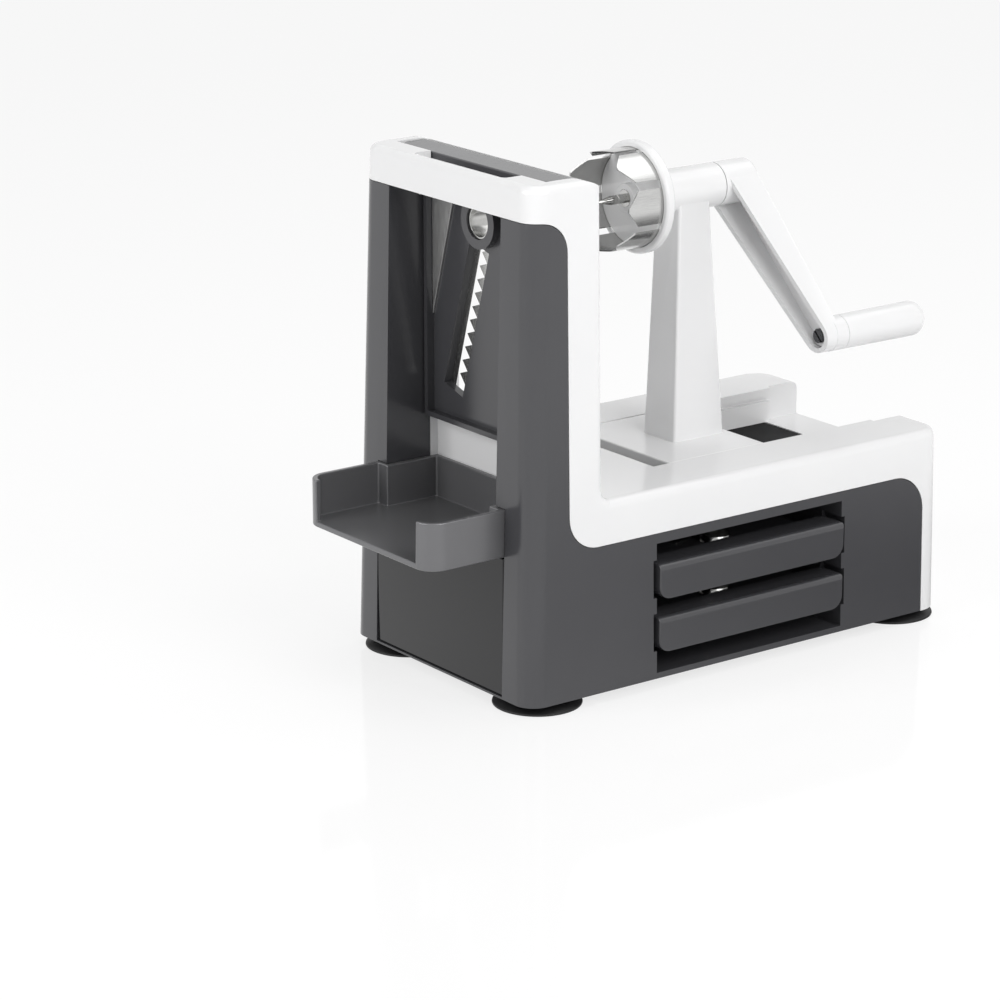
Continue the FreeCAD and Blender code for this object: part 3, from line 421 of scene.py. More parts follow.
def chamfer(bm: bmesh.types.BMesh, width: float,
            pick: Callable[[bmesh.types.BMEdge], bool] | None = None) -> None:
    """Cut a flat along the sharp edges of a mesh.

    Args:
        bm: the mesh, in millimetres.
        width: how far the cut reaches from the edge.
        pick: chooses the edges; left out, every sharp edge is cut.
    """
    sharp = math.radians(SHARP_DEG)
    chosen = [e for e in bm.edges if len(e.link_faces) == 2
              and (pick(e) if pick else e.calc_face_angle(0.0) > sharp)]
    bmesh.ops.bevel(bm, geom=chosen, offset=width, segments=1, profile=0.5, affect="EDGES",
                    material=-1, clamp_overlap=True)


def join(whole: bmesh.types.BMesh, part: bmesh.types.BMesh) -> None:
    """Add one mesh to another, and free it.

    Args:
        whole: the mesh that grows.
        part: the mesh that is added.
    """
    scrap = bpy.data.meshes.new("scrap")
    part.to_mesh(scrap)
    part.free()
    whole.from_mesh(scrap)
    bpy.data.meshes.remove(scrap)


@dataclass
class Workshop:
    """Turns finished meshes into named pieces that ride on their bodies."""

    paints: Paintbox = field(default_factory=Paintbox)

    def place(self, bm: bmesh.types.BMesh, name: str, body: str, finish: Finish,
              nodes: Iterable[str] = ()) -> bpy.types.Object:
        """Make a piece from a mesh in millimetres.

        Args:
            bm: the mesh; it is freed.
            name: the piece's name.
            body: the body that it rides on.
            finish: its finish.
            nodes: the frame's nodes that it stands for.

        Returns:
            The new object.
        """
        bmesh.ops.scale(bm, verts=bm.verts, vec=(MM, MM, MM))
        return self._store(bm, name, body, finish, nodes, SHARP_DEG)

    def _store(self, bm: bmesh.types.BMesh, name: str, body: str, finish: Finish,
               nodes: Iterable[str], smooth_deg: float) -> bpy.types.Object:
        """Make a piece from a mesh in metres, and dress it.

        Args:
            bm: the mesh; it is freed.
            name: the piece's name.
            body: the body that it rides on.
            finish: its finish.
            nodes: the frame's nodes that it stands for.
            smooth_deg: edges flatter than this are shaded smooth.

        Returns:
            The new object.
        """
        limit = math.radians(smooth_deg)
        for face in bm.faces:
            face.smooth = True
        for edge in bm.edges:
            edge.smooth = edge.calc_face_angle(0.0) < limit
        mesh = bpy.data.meshes.new(name)
        bm.to_mesh(mesh)
        bm.free()
        mesh.materials.append(self.paints.get(finish))
        obj = bpy.data.objects.new(name, mesh)
        bpy.context.scene.collection.objects.link(obj)
        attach(obj, body)
        if nodes:
            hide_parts(*nodes)
        LOG.info("piece %s: %d faces, on %s", name, len(mesh.polygons), body)
        return obj

    def softened_node(self, node: str, body: str, finish: Finish, width: float, segments: int = 3) -> None:
        """Stand in for a node with the same shape, its edges rounded as a mould leaves them.

        Args:
            node: the frame's node.
            body: its body.
            finish: its finish.
            width: the size of the rounding, in millimetres.
            segments: the strips in each rounding.
        """
        bm = bmesh.new()
        bm.from_mesh(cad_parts[node].data)
        bmesh.ops.remove_doubles(bm, verts=bm.verts, dist=WELD)
        bmesh.ops.dissolve_limit(bm, angle_limit=math.radians(FLAT_DEG), verts=bm.verts, edges=bm.edges)
        obj = self._store(bm, node + "_shell", body, finish, [node], MOULD_DEG)
        self.mould_edges(obj, width, segments)

    def mould_edges(self, obj: bpy.types.Object, width: float, segments: int, weighted: bool = False) -> None:
        """Round a piece's sharp edges while its flat faces stay flat to the eye.

        Args:
            obj: the piece.
            width: the size of the rounding, in millimetres.
            segments: the strips in each rounding.
            weighted: take the edges that carry a bevel weight, each by its share of the width.
        """
        bevel = obj.modifiers.new("mould_radius", "BEVEL")
        bevel.width = width * MM
        bevel.segments = segments
        bevel.limit_method = "WEIGHT" if weighted else "ANGLE"
        bevel.angle_limit = math.radians(MOULD_DEG)
        bevel.use_clamp_overlap = True
        bevel.harden_normals = True

    def dress(self, node: str, finish: Finish) -> None:
        """Give a frame node that already has the right shape its finish.

        Args:
            node: the frame's node.
            finish: its finish.
        """
        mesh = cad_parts[node].data
        mesh.materials.clear()
        mesh.materials.append(self.paints.get(finish))
        LOG.info("node %s keeps its shape", node)


# ---------------------------------------------------------------- sub-assemblies


@dataclass
class BaseShells:
    """The fixed body's shells, each with the rounding of its own mould's edges."""

    housing_edge: float = 0.8
    cover_edge: float = 1.2
    chute_edge: float = 0.6
    panel_edge: float = 0.4
    floor_edge: float = 0.3

    def build(self, shop: Workshop) -> None:
        """Dress the housing, cover, strand chute, front panel and floor plate.

        Args:
            shop: makes the pieces.
        """
        shop.softened_node("housing", "base", Finish.GREY, self.housing_edge)
        shop.softened_node("cover", "base", Finish.WHITE, self.cover_edge)
        shop.softened_node("strand_chute", "base", Finish.SILVER, self.chute_edge)
        shop.softened_node("front_panel", "base", Finish.GLOSS_GREY, self.panel_edge)
        shop.softened_node("floor_plate", "base", Finish.GREY, self.floor_edge)


@dataclass
class SuctionFoot:
    """A rubber cup with a thin flared rim, a short neck and a button that holds it in the floor."""

    node: str
    drop: float = 5.0
    neck: float = 13.7
    neck_top: float = 0.25
    stem: float = 4.0
    button: float = 6.0
    floor: float = 2.25

    def build(self, shop: Workshop) -> None:
        """Turn the cup, whose outline starts in its hollow and ends on the button.

        Args:
            shop: makes the piece.
        """
        low, high = node_box(self.node)
        rim = (high.x - low.x) / 2
        seat = Vector(((low.x + high.x) / 2, (low.y + high.y) / 2, low.z + self.drop))
        hollow = [(0, 2.4), (12.9, 1.5), (rim - 2.4, 0)]
        flare = [(rim - 0.6, 0), (rim - 0.15, 0.2), (rim, 0.6), (rim - 0.15, 1.1), (rim - 0.7, 1.5),
                 (15.4, 2.9), (14.2, 3.5), (13.8, 4.2)]
        stem = [(self.neck, -self.neck_top), (self.stem, -self.neck_top), (self.stem, self.floor)]
        button = [(self.button, self.floor), (5.6, 3.4), (4.4, 4.6), (2.4, 5.2), (0, 5.25)]
        cup = [(r, height - self.drop) for r, height in hollow + flare]
        bm = turned(cup + stem + button, Axis.Z, seat)
        shop.place(bm, self.node + "_cup", "base", Finish.RUBBER, [self.node])


@dataclass
class BaseScrews:
    """Crosshead screws that hold the floor plate under the housing."""

    count: int = 4
    inset_x: float = 46.0
    inset_y: float = 9.0
    head: float = 3.4
    dome: float = 1.35
    cross_arm: float = 2.1
    cross_half: float = 0.42
    cross_floor: float = 0.9
    cross_mouth: float = 0.95
    cross_web: float = 0.1
    seat: float = 0.02

    def _cross(self, vert: bmesh.types.BMVert, centre: Vector) -> None:
        """Pull one vertex of a ring to the outline of the driver's cross.

        Args:
            vert: the vertex.
            centre: the screw's centre.
        """
        flat = Vector((vert.co.x - centre.x, vert.co.y - centre.y))
        turn = (math.atan2(flat.y, flat.x) + math.pi / 4) % (math.pi / 2) - math.pi / 4
        reach = self.cross_arm / math.cos(turn)
        side = abs(math.sin(turn))
        if reach * side > self.cross_half:
            reach = self.cross_half / side
        flat = flat.normalized() * reach
        vert.co.x, vert.co.y = centre.x + flat.x, centre.y + flat.y

    def _screw(self, centre: Vector) -> bmesh.types.BMesh:
        """Turn one head and sink the cross into it.

        Args:
            centre: where its axis meets the floor plate.

        Returns:
            The screw's head, in millimetres.
        """
        recess = (self.cross_floor, self.cross_mouth)
        pan = [(0, -self.cross_web), (self.cross_floor, -self.cross_web), (self.cross_mouth, -self.dome),
               (2.2, -1.2), (2.9, -0.85), (self.head - 0.05, -0.35), (self.head, self.seat), (0, self.seat)]
        bm = turned(pan, Axis.Z, centre)
        for vert in bm.verts:
            radius = math.hypot(vert.co.x - centre.x, vert.co.y - centre.y)
            if any(abs(radius - ring) < TOUCH for ring in recess):
                self._cross(vert, centre)
        return bm

    def build(self, shop: Workshop) -> None:
        """Set a row of screws along each side.

        Args:
            shop: makes the pieces.
        """
        low, high = node_box("floor_plate")
        run = (high.x - low.x - 2 * self.inset_x) / (self.count - 1)
        for side, y in (("near", low.y + self.inset_y), ("far", high.y - self.inset_y)):
            for i in range(self.count):
                bm = self._screw(Vector((low.x + self.inset_x + i * run, y, low.z)))
                shop.place(bm, f"base_screw_{side}_{i + 1}", "base", Finish.SHAFT)


@dataclass
class ChannelShadeSheet:
    """Black sheets on the floor of the carriage's channel, beside the stop's trench: painted shade that
    darkens the floor where it lies in shadow.
    """

    front_gap: float = 97.6  # from the housing's front end to the channel
    rear_deck: float = 23.6  # from the channel to the cover's rear end
    groove: float = 2.6  # from the floor's side to the end of the carriage's tongue
    deck_height: float = 90.0  # of the rails' top, over the housing's underside
    depth: float = 17.5  # from the rails' top to the floor
    trench: tuple[float, float] = (-25.3, -8.7)  # its near and far side
    thickness: float = 0.25
    corner: float = 1.0
    corner_steps: int = 4

    def build(self, shop: Workshop) -> None:
        """Lay one strip on each side of the trench.

        Args:
            shop: makes the piece.
        """
        housing = node_box("housing")[0]
        front, rear = housing.x + self.front_gap, node_box("cover")[1].x - self.rear_deck
        half = node_box("carriage")[1].y - self.groove
        floor = housing.z + self.deck_height - self.depth
        whole = bmesh.new()
        for y0, y1 in ((-half, self.trench[0]), (self.trench[1], half)):
            corners = [(x, y, self.corner) for x, y in ((front, y0), (rear, y0), (rear, y1), (front, y1))]
            outline = rounded(corners, self.corner_steps)
            join(whole, slab(outline, lambda x, y: Vector((x, y, floor)), Vector((0, 0, self.thickness))))
        # The sheets are painted shade, not a real lining.
        shop.place(whole, "channel_painted_shade", "base", Finish.PAINTED_SHADE_BLACK)


@dataclass
class CapRim:
    """The cap round the finger lip: the rail behind it, and the ramp in the finger recess."""

    lip_depth: float
    fall_length: float = 14.0
    fall: float = 6.5
    seam: float = 0.5
    rear_gap: float = 0.4
    recess_reach: float = 10.3
    recess_near: float = 39.0
    recess_depth: float = 12.0
    ramp_run: float = 17.0
    ramp_drop: float = 0.5
    crest_steps: int = 10
    ramp_steps: int = 12

    def _rail(self, shop: Workshop) -> None:
        """Build the rail behind the lip, whose top falls away to the rear as the cap's does.

        Args:
            shop: makes the piece.
        """
        low, high = node_box("finger_lip_a")
        cap, foot = high.z + self.seam, low.z - self.seam
        near, far = low.y - self.seam, high.y + self.seam
        front, rear = low.x + self.lip_depth + self.seam, high.x + self.rear_gap
        start = rear - self.fall_length
        first = math.asin((front - start) / self.fall_length)
        turns = [first + (math.pi / 2 - first) * k / self.crest_steps for k in range(self.crest_steps + 1)]
        crest = [(start + self.fall_length * math.sin(a), cap - self.fall * (1 - math.cos(a))) for a in turns]
        outline = [(front, foot), *crest, (rear, foot)]
        bm = slab(outline, lambda x, z: Vector((x, near, z)), Vector((0, far - near, 0)))
        shop.place(bm, "cap_rear_rail", "base", Finish.WHITE)

    def _ramp(self, shop: Workshop) -> None:
        """Build the slope that leads a finger out of the near end of the recess.

        Args:
            shop: makes the piece.
        """
        low, high = node_box("finger_lip_a")
        near = (low.y + high.y) / 2 - self.recess_near
        floor = high.z + self.seam - self.recess_depth
        rise = self.recess_depth - self.ramp_drop
        waves = [k / self.ramp_steps for k in range(self.ramp_steps + 1)]
        slope = [(near + self.ramp_run * (1 - w), floor + rise * (0.5 - 0.5 * math.cos(math.pi * w)))
                 for w in waves]
        front, rear = low.x - self.recess_reach, low.x - self.seam
        bm = slab([*slope, (near, floor)], lambda y, z: Vector((front, y, z)), Vector((rear - front, 0, 0)))
        shop.place(bm, "recess_ramp", "base", Finish.WHITE)

    def build(self, shop: Workshop) -> None:
        """Build the rail and the ramp."""
        self._rail(shop)
        self._ramp(shop)


@dataclass
class BladeCassette:
    """A blade frame with its finger lip, guide plate, blades, core ring and rivets.

    Its pieces are made in the cassette's own frame and laid where the cassette is: X points out of
    its back, Y across it and Z up from its foot.  The blades lie along a slot that starts below the
    core ring and leans to one side.
    """

    letter: str
    comb_pitch: float
    comb_tooth: float
    frame_edge: float = 0.5
    guide_edge: float = 0.12
    # the slot, and the strips on the plate's back
    slot_lean: float = 16.0
    slot_start: float = 13.0
    slot_foot: float = 16.0
    slot_half: float = 7.5
    strip: float = 0.8
    strip_land: float = 2.0
    edge_in: float = 4.0
    # the slicing blade
    blade_width: float = 13.0
    blade_grind: float = 2.4
    blade_burr: float = 0.06
    # the comb
    comb_inset: float = 1.0
    comb_back: float = 7.0
    comb_grind: float = 0.5
    tip_gap: float = 1.2
    # the core ring
    ring_wall: float = 1.05
    ring_grind: float = 2.4
    ring_edge: float = 0.12
    ring_break: float = 0.2
    # the rivets
    rivet: float = 1.4
    rivet_inset: float = 6.0
    rivet_row: float = 6.0
    comb_rivet_start: float = 8.0
    comb_rivet_row: float = 3.5
    # the finger lip
    lip_depth: float = 17.0
    lip_corner: float = 6.5
    lip_wall: float = 2.2
    lip_rear_round: float = 3.0
    lip_steps: int = 4
    lip_edge: float = 0.8
    lip_web: float = 1.0
    plate: float = 8.0
    # read from the frame
    body: str = field(init=False)
    to_frame: Matrix = field(init=False)
    hub: float = field(init=False)
    slot_end: float = field(init=False)

    def __post_init__(self) -> None:
        """Read where the cassette is, and whether it stands or lies, from its frame nodes."""
        self.body = "cassette_" + self.letter
        low, high = node_box("blade_frame_" + self.letter)
        ring_low, ring_high = node_box("core_ring_" + self.letter)
        ring = (ring_low + ring_high) / 2
        if high.x - low.x < high.z - low.z:
            self.to_frame = Matrix(((1, 0, 0, high.x), (0, 1, 0, ring.y), (0, 0, 1, low.z), (0, 0, 0, 1)))
            self.hub = ring.z - low.z
        else:
            self.to_frame = Matrix(((0, -1, 0, ring.x), (0, 0, -1, high.y), (1, 0, 0, high.z), (0, 0, 0, 1)))
            self.hub = high.y - ring.y
        self.slot_end = (self.hub - self.slot_foot) / math.cos(math.radians(self.slot_lean))

    @property
    def across(self) -> Vector:
        """Direction across the slot, towards the slicing blade."""
        lean = math.radians(self.slot_lean)
        return Vector((0, math.cos(lean), math.sin(lean)))

    def on_slot(self, along: float, across: float) -> Vector:
        """Find a point on the plate's back.

        Args:
            along: how far it is from the hub, along the slot.
            across: how far it is from the slot's middle, towards the slicing blade.

        Returns:
            The point, in the cassette's own frame.
        """
        lean = math.radians(self.slot_lean)
        down = Vector((0, math.sin(lean), -math.cos(lean)))
        return Vector((0, 0, self.hub)) + down * along + self.across * across

    def _own_box(self, node: str) -> tuple[Vector, Vector]:
        """Lowest and highest corners of one of its nodes, in the cassette's own frame."""
        ends = [self.to_frame.inverted() @ corner for corner in node_box(node + "_" + self.letter)]
        return Vector([min(pair) for pair in zip(*ends)]), Vector([max(pair) for pair in zip(*ends)])

    def _set(self, shop: Workshop, bm: bmesh.types.BMesh, part: str, finish: Finish) -> bpy.types.Object:
        """Lay a mesh of the cassette's own frame where the cassette is.

        Args:
            shop: makes the piece.
            bm: the mesh; it is freed.
            part: the node that it stands for, without the cassette's letter.
            finish: its finish.

        Returns:
            The new object.
        """
        bmesh.ops.transform(bm, matrix=self.to_frame, verts=bm.verts)
        node = part + "_" + self.letter
        return shop.place(bm, node + "_piece", self.body, finish, [node])

    def _finger_lip(self, shop: Workshop) -> None:
        """Build the lip: hollow from below, round at its front corners and upper rear edge, on a web.

        Args:
            shop: makes the piece.
        """
        low, high = self._own_box("finger_lip")
        front, rear, half = low.x, low.x + self.lip_depth, (high.y - low.y) / 2
        foot, top = low.z, high.z
        outline = rounded([(front, -half, self.lip_corner), (front, half, self.lip_corner), (rear, half, 0),
                           (rear, -half, 0)])
        bm = slab(outline, lambda x, y: Vector((x, y, foot)), Vector((0, 0, top - foot)))
        under = [min(bm.faces, key=lambda f: f.calc_center_median().z)]
        bmesh.ops.inset_region(bm, faces=under, thickness=self.lip_wall, use_even_offset=True)
        raised = bmesh.ops.extrude_face_region(bm, geom=under)["geom"]
        bmesh.ops.translate(bm, verts=[v for v in raised if isinstance(v, bmesh.types.BMVert)],
                            vec=(0, 0, top - foot - self.lip_wall))
        weight = bm.edges.layers.float.new("bevel_weight_edge")
        for edge in bm.edges:
            if edge.calc_face_angle(0.0) > math.radians(SHARP_DEG):
                behind = all(v.co.z > top - TOUCH and v.co.x > rear - TOUCH for v in edge.verts)
                edge[weight] = 1.0 if behind else self.lip_edge / self.lip_rear_round
        side = half - self.lip_web
        web = [(-self.plate, -side), (0, -side), (0, side), (-self.plate, side)]
        join(bm, slab(web, lambda x, y: Vector((x, y, foot)), Vector((0, 0, top - foot - self.lip_web))))
        lip = self._set(shop, bm, "finger_lip", Finish.CASSETTE)
        shop.mould_edges(lip, self.lip_rear_round, self.lip_steps, weighted=True)

    def _slicing_blade(self, shop: Workshop) -> None:
        """Build the flat strip whose cutting side is ground to an edge.

        Args:
            shop: makes the piece.
        """
        edge = self.slot_half - self.edge_in
        back = edge + self.blade_width
        first, last = self.slot_start - self.strip_land, self.slot_end + self.strip_land
        outline = [(first, edge), (first, back), (last, back), (last, edge)]
        bm = slab(outline, self.on_slot, Vector((self.strip, 0, 0)))
        cutting = self.on_slot(first, edge)
        ground = [v for v in bm.verts
                  if v.co.x > self.strip / 2 and abs((v.co - cutting).dot(self.across)) < TOUCH]
        bmesh.ops.translate(bm, verts=ground, vec=self.across * self.blade_grind)
        chamfer(bm, self.blade_burr)
        self._set(shop, bm, "slicing_blade", Finish.BLADE)

    def _comb_blade(self, shop: Workshop) -> None:
        """Build the toothed strip whose teeth are ground on their back.

        Args:
            shop: makes the piece.
        """
        tip = self.slot_half - self.edge_in - self.tip_gap
        root = tip - self.comb_tooth
        back = -self.slot_half - self.comb_back
        end = self.slot_end + self.strip_land
        first, last = self.slot_start + self.comb_inset, self.slot_end - self.comb_inset
        outline = [(end, back), (self.slot_start, back), (self.slot_start, root), (first, root)]
        for i in range(int((last - first) // self.comb_pitch)):
            foot = first + i * self.comb_pitch
            outline += [(foot + self.comb_pitch / 2, tip), (foot + self.comb_pitch, root)]
        outline.append((end, root))
        bm = slab(outline, self.on_slot, Vector((self.strip, 0, 0)))
        behind = self.strip - TOUCH
        teeth = self.on_slot(first, root).dot(self.across) - TOUCH
        chamfer(bm, self.comb_grind,
                lambda e: all(v.co.x > behind and v.co.dot(self.across) > teeth for v in e.verts))
        self._set(shop, bm, "comb_blade", Finish.BLADE)

    def _core_ring(self, shop: Workshop) -> None:
        """Build the short tube whose rear end is sharpened from outside to cut the core.

        Args:
            shop: makes the piece.
        """
        low, high = self._own_box("core_ring")
        front, rear, outer = low.x, high.x, (high.y - low.y) / 2
        inner = outer - self.ring_wall
        profile = [(inner, front + self.ring_break), (inner + self.ring_break, front),
                   (outer - self.ring_break, front), (outer, front + self.ring_break),
                   (outer, rear - self.ring_grind), (inner + self.ring_edge, rear), (inner, rear)]
        bm = turned(profile, Axis.X, Vector((0, 0, self.hub)))
        self._set(shop, bm, "core_ring", Finish.SHAFT)

    def _rivets(self, shop: Workshop) -> None:
        """Build the domed rivet heads on the blades.

        Args:
            shop: makes the piece.
        """
        last, row = self.slot_end - self.rivet_inset, self.slot_half + self.rivet_row
        spots = [(self.slot_start + self.rivet_inset, row), (last, row)]
        if self.comb_pitch:
            row = -self.slot_half - self.comb_rivet_row
            spots += [(self.slot_start + self.comb_rivet_start, row), (last, row)]
        dome = [(0, 0.6), (0.6, 0.55), (1.1, 0.36), (self.rivet, 0), (0, 0)]
        whole = bmesh.new()
        for along, across in spots:
            centre = self.on_slot(along, across) + Vector((self.strip, 0, 0))
            join(whole, turned(dome, Axis.X, centre, 32))
        self._set(shop, whole, "blade_rivets", Finish.SHAFT)

    def build(self, shop: Workshop) -> None:
        """Build one cassette.

        Args:
            shop: makes the pieces.
        """
        shop.softened_node("blade_frame_" + self.letter, self.body, Finish.CASSETTE, self.frame_edge)
        self._finger_lip(shop)
        shop.softened_node("guide_plate_" + self.letter, self.body, Finish.GUIDE, self.guide_edge, 1)
        self._slicing_blade(shop)
        if self.comb_pitch:
            self._comb_blade(shop)
        self._core_ring(shop)
        self._rivets(shop)


@dataclass
class Carriage:
    """The sliding plate with its column, bearing barrel and bushes."""

    edge: float = 1.0

    def build(self, shop: Workshop) -> None:
        """Dress the carriage.

        Args:
            shop: makes the pieces.
        """
        shop.softened_node("carriage", "carriage", Finish.WHITE, self.edge)
        shop.dress("bush_front", Finish.ACETAL)
        shop.dress("bush_rear", Finish.ACETAL)


@dataclass
class Crank:
    """Arm, disc, toothed crown, spike and shaft, which turn together."""

    arm_edge: float = 0.6
    disc_edge: float = 0.5
    crown_edge: float = 0.12
    pin_edge: float = 0.2
    neck_depth: float = 0.3

    def _spike(self, shop: Workshop) -> None:
        """Turn the centring pin: a ground point, a neck behind it and a plain stem.

        Args:
            shop: makes the piece.
        """
        low, high = node_box("centre_spike")
        centre = Vector((low.x, (low.y + high.y) / 2, (low.z + high.z) / 2))
        radius, length = (high.y - low.y) / 2, high.x - low.x
        waist = radius - self.neck_depth
        point = [(0, 0), (0.35, 0.5), (1.5, 5.6), (radius - 0.1, 8.4), (radius, 9.0)]
        neck = [(radius, 11.0), (waist, 11.3), (waist, 12.1), (radius, 12.4)]
        bm = turned([*point, *neck, (radius, length), (0, length)], Axis.X, centre, 64)
        shop.place(bm, "centre_spike_pin", "crank", Finish.SHAFT, ["centre_spike"])

    def build(self, shop: Workshop) -> None:
        """Dress the crank.

        Args:
            shop: makes the pieces.
        """
        shop.softened_node("crank_arm", "crank", Finish.WHITE, self.arm_edge)
        shop.softened_node("prong_disc", "crank", Finish.WHITE, self.disc_edge)
        shop.softened_node("tooth_crown", "crank", Finish.CROWN, self.crown_edge, 2)
        self._spike(shop)
        shop.dress("crank_shaft", Finish.SHAFT)
        shop.softened_node("grip_axle", "crank", Finish.AXLE, self.pin_edge, 2)


@dataclass
class Grip:
    """The handle that turns on its pin."""

    edge: float = 0.4

    def build(self, shop: Workshop) -> None:
        """Dress the grip."""
        shop.softened_node("crank_grip", "grip", Finish.WHITE, self.edge)


# ---------------------------------------------------------------- studio


@dataclass(frozen=True)
class Softbox:
    """A soft light: its place, width and height in metres, and its power in watts."""

    name: str
    place: Triple
    size: tuple[float, float]
    power: float

    def hang(self, aim: Triple) -> None:
        """Hang the light.

        Args:
            aim: the place that it faces, in metres.
        """
        data = bpy.data.lights.new(self.name, "AREA")
        data.shape = "RECTANGLE"
        data.size, data.size_y = self.size
        data.energy = self.power
        obj = bpy.data.objects.new(self.name, data)
        obj.location = self.place
        obj.rotation_euler = (Vector(aim) - Vector(self.place)).to_track_quat("-Z", "Y").to_euler()
        bpy.context.scene.collection.objects.link(obj)


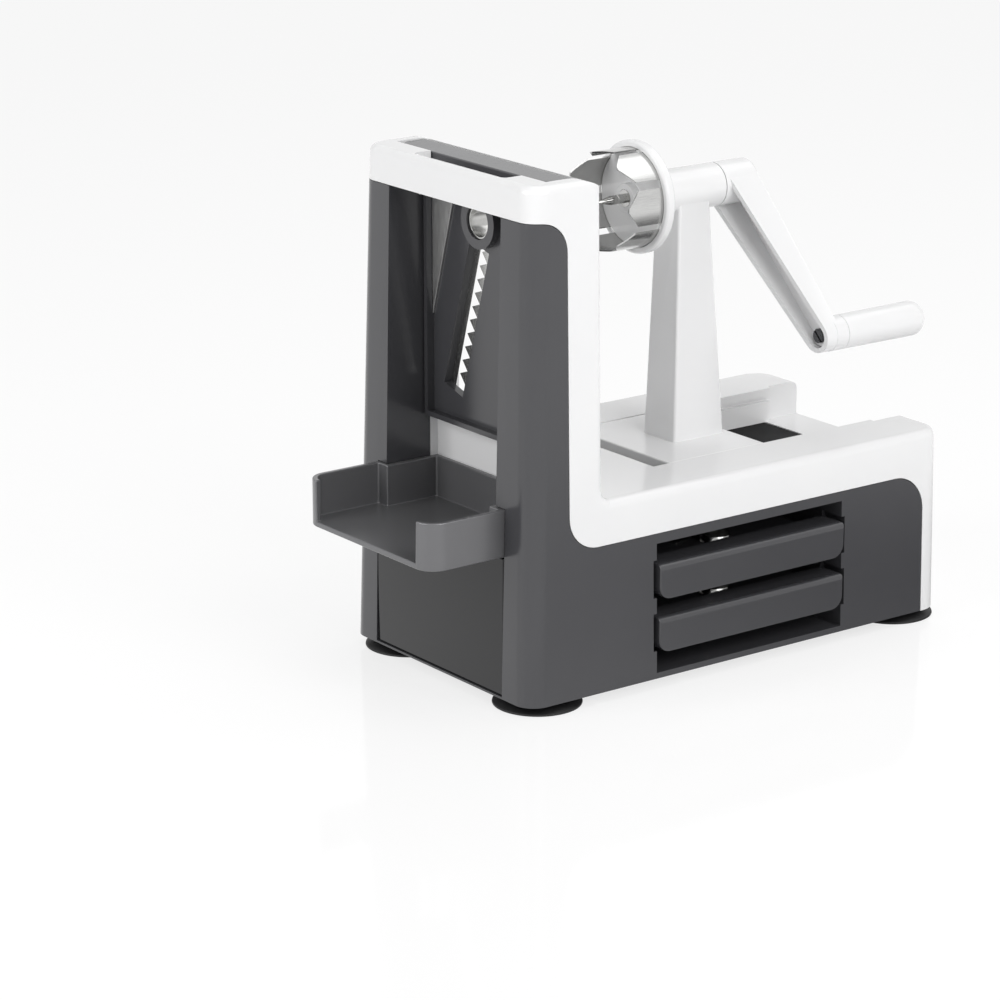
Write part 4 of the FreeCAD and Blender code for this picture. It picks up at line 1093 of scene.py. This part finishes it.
@dataclass
class Studio:
    """A pale table, a plain bright room, soft lights and the camera."""

    lens: float = 132.2
    sensor: float = 36.0
    eye: Triple = (-1.0446, -1.3049, 0.5741)
    tilt_deg: float = 73.137
    turn_deg: float = -36.686
    lights: tuple[Softbox, ...] = (
        Softbox("top_softbox", (0.4, -0.1, 1.5), (1.5, 1.5), 7.5),
        Softbox("left_softbox", (-1.6, 0.2, 0.8), (1.0, 1.2), 13.5),
        Softbox("right_softbox", (0.0, -1.55, 1.0), (1.3, 1.1), 18.0),
    )
    aim: Triple = (0.0, 0.0, 0.1)
    fill: float = 0.22  # the room's strength as a light
    table_half: float = 6.0
    table_white: float = 0.68  # the glow's share of the table where the table is seen
    table_level: float = 1.08  # the glow's strength there
    table_mirrored: float = 0.9  # the glow's share where the table is mirrored
    painted_shade_at: Triple = (0.22, -0.12, 0.0)  # where the painted shade on the mirrored table is deepest
    painted_shade_reach: float = 0.40  # how far the painted shade reaches from there
    painted_shade_strength: float = 0.1  # the mirrored glow's strength there, painted dim
    mirrored_far: float = 1.15  # and everywhere farther away

    def camera(self) -> None:
        """Stand the camera at the viewing angle."""
        data = bpy.data.cameras.new("camera")
        data.lens = self.lens
        data.sensor_width = self.sensor
        obj = bpy.data.objects.new("camera", data)
        obj.location = self.eye
        obj.rotation_euler = (math.radians(self.tilt_deg), 0, math.radians(self.turn_deg))
        bpy.context.scene.collection.objects.link(obj)
        bpy.context.scene.camera = obj

    def _share(self, tree: bpy.types.NodeTree, path: bpy.types.Node, seen: float, mirrored: float) -> Socket:
        """Give the white background its share of a ray, by how the ray reaches it.

        Args:
            tree: the node tree.
            path: its Light Path node.
            seen: the share for rays from the camera, also through something clear.
            mirrored: the share for rays from a glossy surface.

        Returns:
            The share, 0 for all other rays.
        """
        view = add_node(tree, "ShaderNodeMath",
                        {0: path.outputs["Is Camera Ray"], 1: path.outputs["Is Transmission Ray"]},
                        operation="MAXIMUM")
        direct = add_node(tree, "ShaderNodeMath", {0: view.outputs["Value"], 1: seen}, operation="MULTIPLY")
        glossy = add_node(tree, "ShaderNodeMath", {0: path.outputs["Is Glossy Ray"], 1: mirrored},
                          operation="MULTIPLY")
        return add_node(tree, "ShaderNodeMath", {0: direct.outputs["Value"], 1: glossy.outputs["Value"]},
                        operation="MAXIMUM").outputs["Value"]

    def _table_material(self) -> bpy.types.Material:
        """Make the white lacquer, which mirrors the object faintly and keeps its shadow.

        Glossy pieces mirror it with painted shade: its glow for them is dimmer round a spot beside the
        object's shaded side.

        Returns:
            The material.
        """
        material, tree = new_material("white_lacquered_table")
        path = add_node(tree, "ShaderNodeLightPath")
        place = add_node(tree, "ShaderNodeTexCoord").outputs["Object"]
        away = add_node(tree, "ShaderNodeVectorMath", {0: place, 1: self.painted_shade_at}, operation="DISTANCE")
        # Painted shade: the glow that glossy pieces mirror is dimmer near one spot beside the object.
        mirrored = add_node(tree, "ShaderNodeMapRange",
                            {"Value": away.outputs["Value"], "From Max": self.painted_shade_reach,
                             "To Min": self.painted_shade_strength, "To Max": self.mirrored_far},
                            interpolation_type="SMOOTHSTEP")
        level = add_node(tree, "ShaderNodeMix", {"Factor": path.outputs["Is Glossy Ray"], 2: self.table_level,
                                                 3: mirrored.outputs["Result"]})
        glow = add_node(tree, "ShaderNodeEmission", {"Color": (1, 1, 1, 1), "Strength": level.outputs[0]})
        lacquer = add_node(tree, "ShaderNodeBsdfPrincipled",
                           {"Base Color": linear("#FAFAFA"), "Roughness": 0.08, "IOR": 1.5})
        share = self._share(tree, path, self.table_white, self.table_mirrored)
        mixed = add_node(tree, "ShaderNodeMixShader", {"Fac": share, 1: lacquer.outputs["BSDF"],
                                                       2: glow.outputs["Emission"]})
        add_node(tree, "ShaderNodeOutputMaterial", {"Surface": mixed.outputs["Shader"]})
        return material

    def table(self) -> None:
        """Lay the table top under the object."""
        bm = bmesh.new()
        bmesh.ops.create_grid(bm, x_segments=1, y_segments=1, size=self.table_half)
        mesh = bpy.data.meshes.new("table_top")
        bm.to_mesh(mesh)
        bm.free()
        mesh.materials.append(self._table_material())
        obj = bpy.data.objects.new("table_top", mesh)
        bpy.context.scene.collection.objects.link(obj)

    def room(self) -> None:
        """Set the white room that is seen and mirrored, and that fills the shadows."""
        world = bpy.data.worlds.new("white_room")
        world.use_nodes = True
        tree = world.node_tree
        tree.nodes.clear()
        fill = add_node(tree, "ShaderNodeBackground", {"Color": (1, 1, 1, 1), "Strength": self.fill})
        white = add_node(tree, "ShaderNodeBackground", {"Color": (1, 1, 1, 1), "Strength": 1.0})
        path = add_node(tree, "ShaderNodeLightPath")
        mixed = add_node(tree, "ShaderNodeMixShader", {"Fac": self._share(tree, path, 1.0, 1.0),
                                                       1: fill.outputs["Background"],
                                                       2: white.outputs["Background"]})
        add_node(tree, "ShaderNodeOutputWorld", {"Surface": mixed.outputs["Shader"]})
        bpy.context.scene.world = world

    def build(self) -> None:
        """Set up the studio."""
        bpy.context.scene.view_settings.view_transform = "Standard"
        self.camera()
        self.table()
        self.room()
        for light in self.lights:
            light.hang(self.aim)
        LOG.info("studio ready")


# ---------------------------------------------------------------- assembly


def main() -> None:
    """Build every sub-assembly in order, then the studio."""
    logging.basicConfig(level=logging.INFO, format="%(name)s: %(message)s")
    shop = Workshop()
    BaseShells().build(shop)
    for node in ("foot_front_near", "foot_front_far", "foot_rear_near", "foot_rear_far"):
        SuctionFoot(node).build(shop)
    BaseScrews().build(shop)
    ChannelShadeSheet().build(shop)
    CapRim(BladeCassette.lip_depth).build(shop)
    for letter, pitch, tooth in (("a", 7.0, 5.0), ("b", 4.5, 3.4), ("c", 0.0, 0.0)):
        BladeCassette(letter, pitch, tooth).build(shop)
    Carriage().build(shop)
    Crank().build(shop)
    Grip().build(shop)
    Studio().build()


if __name__ == "__main__":
    main()
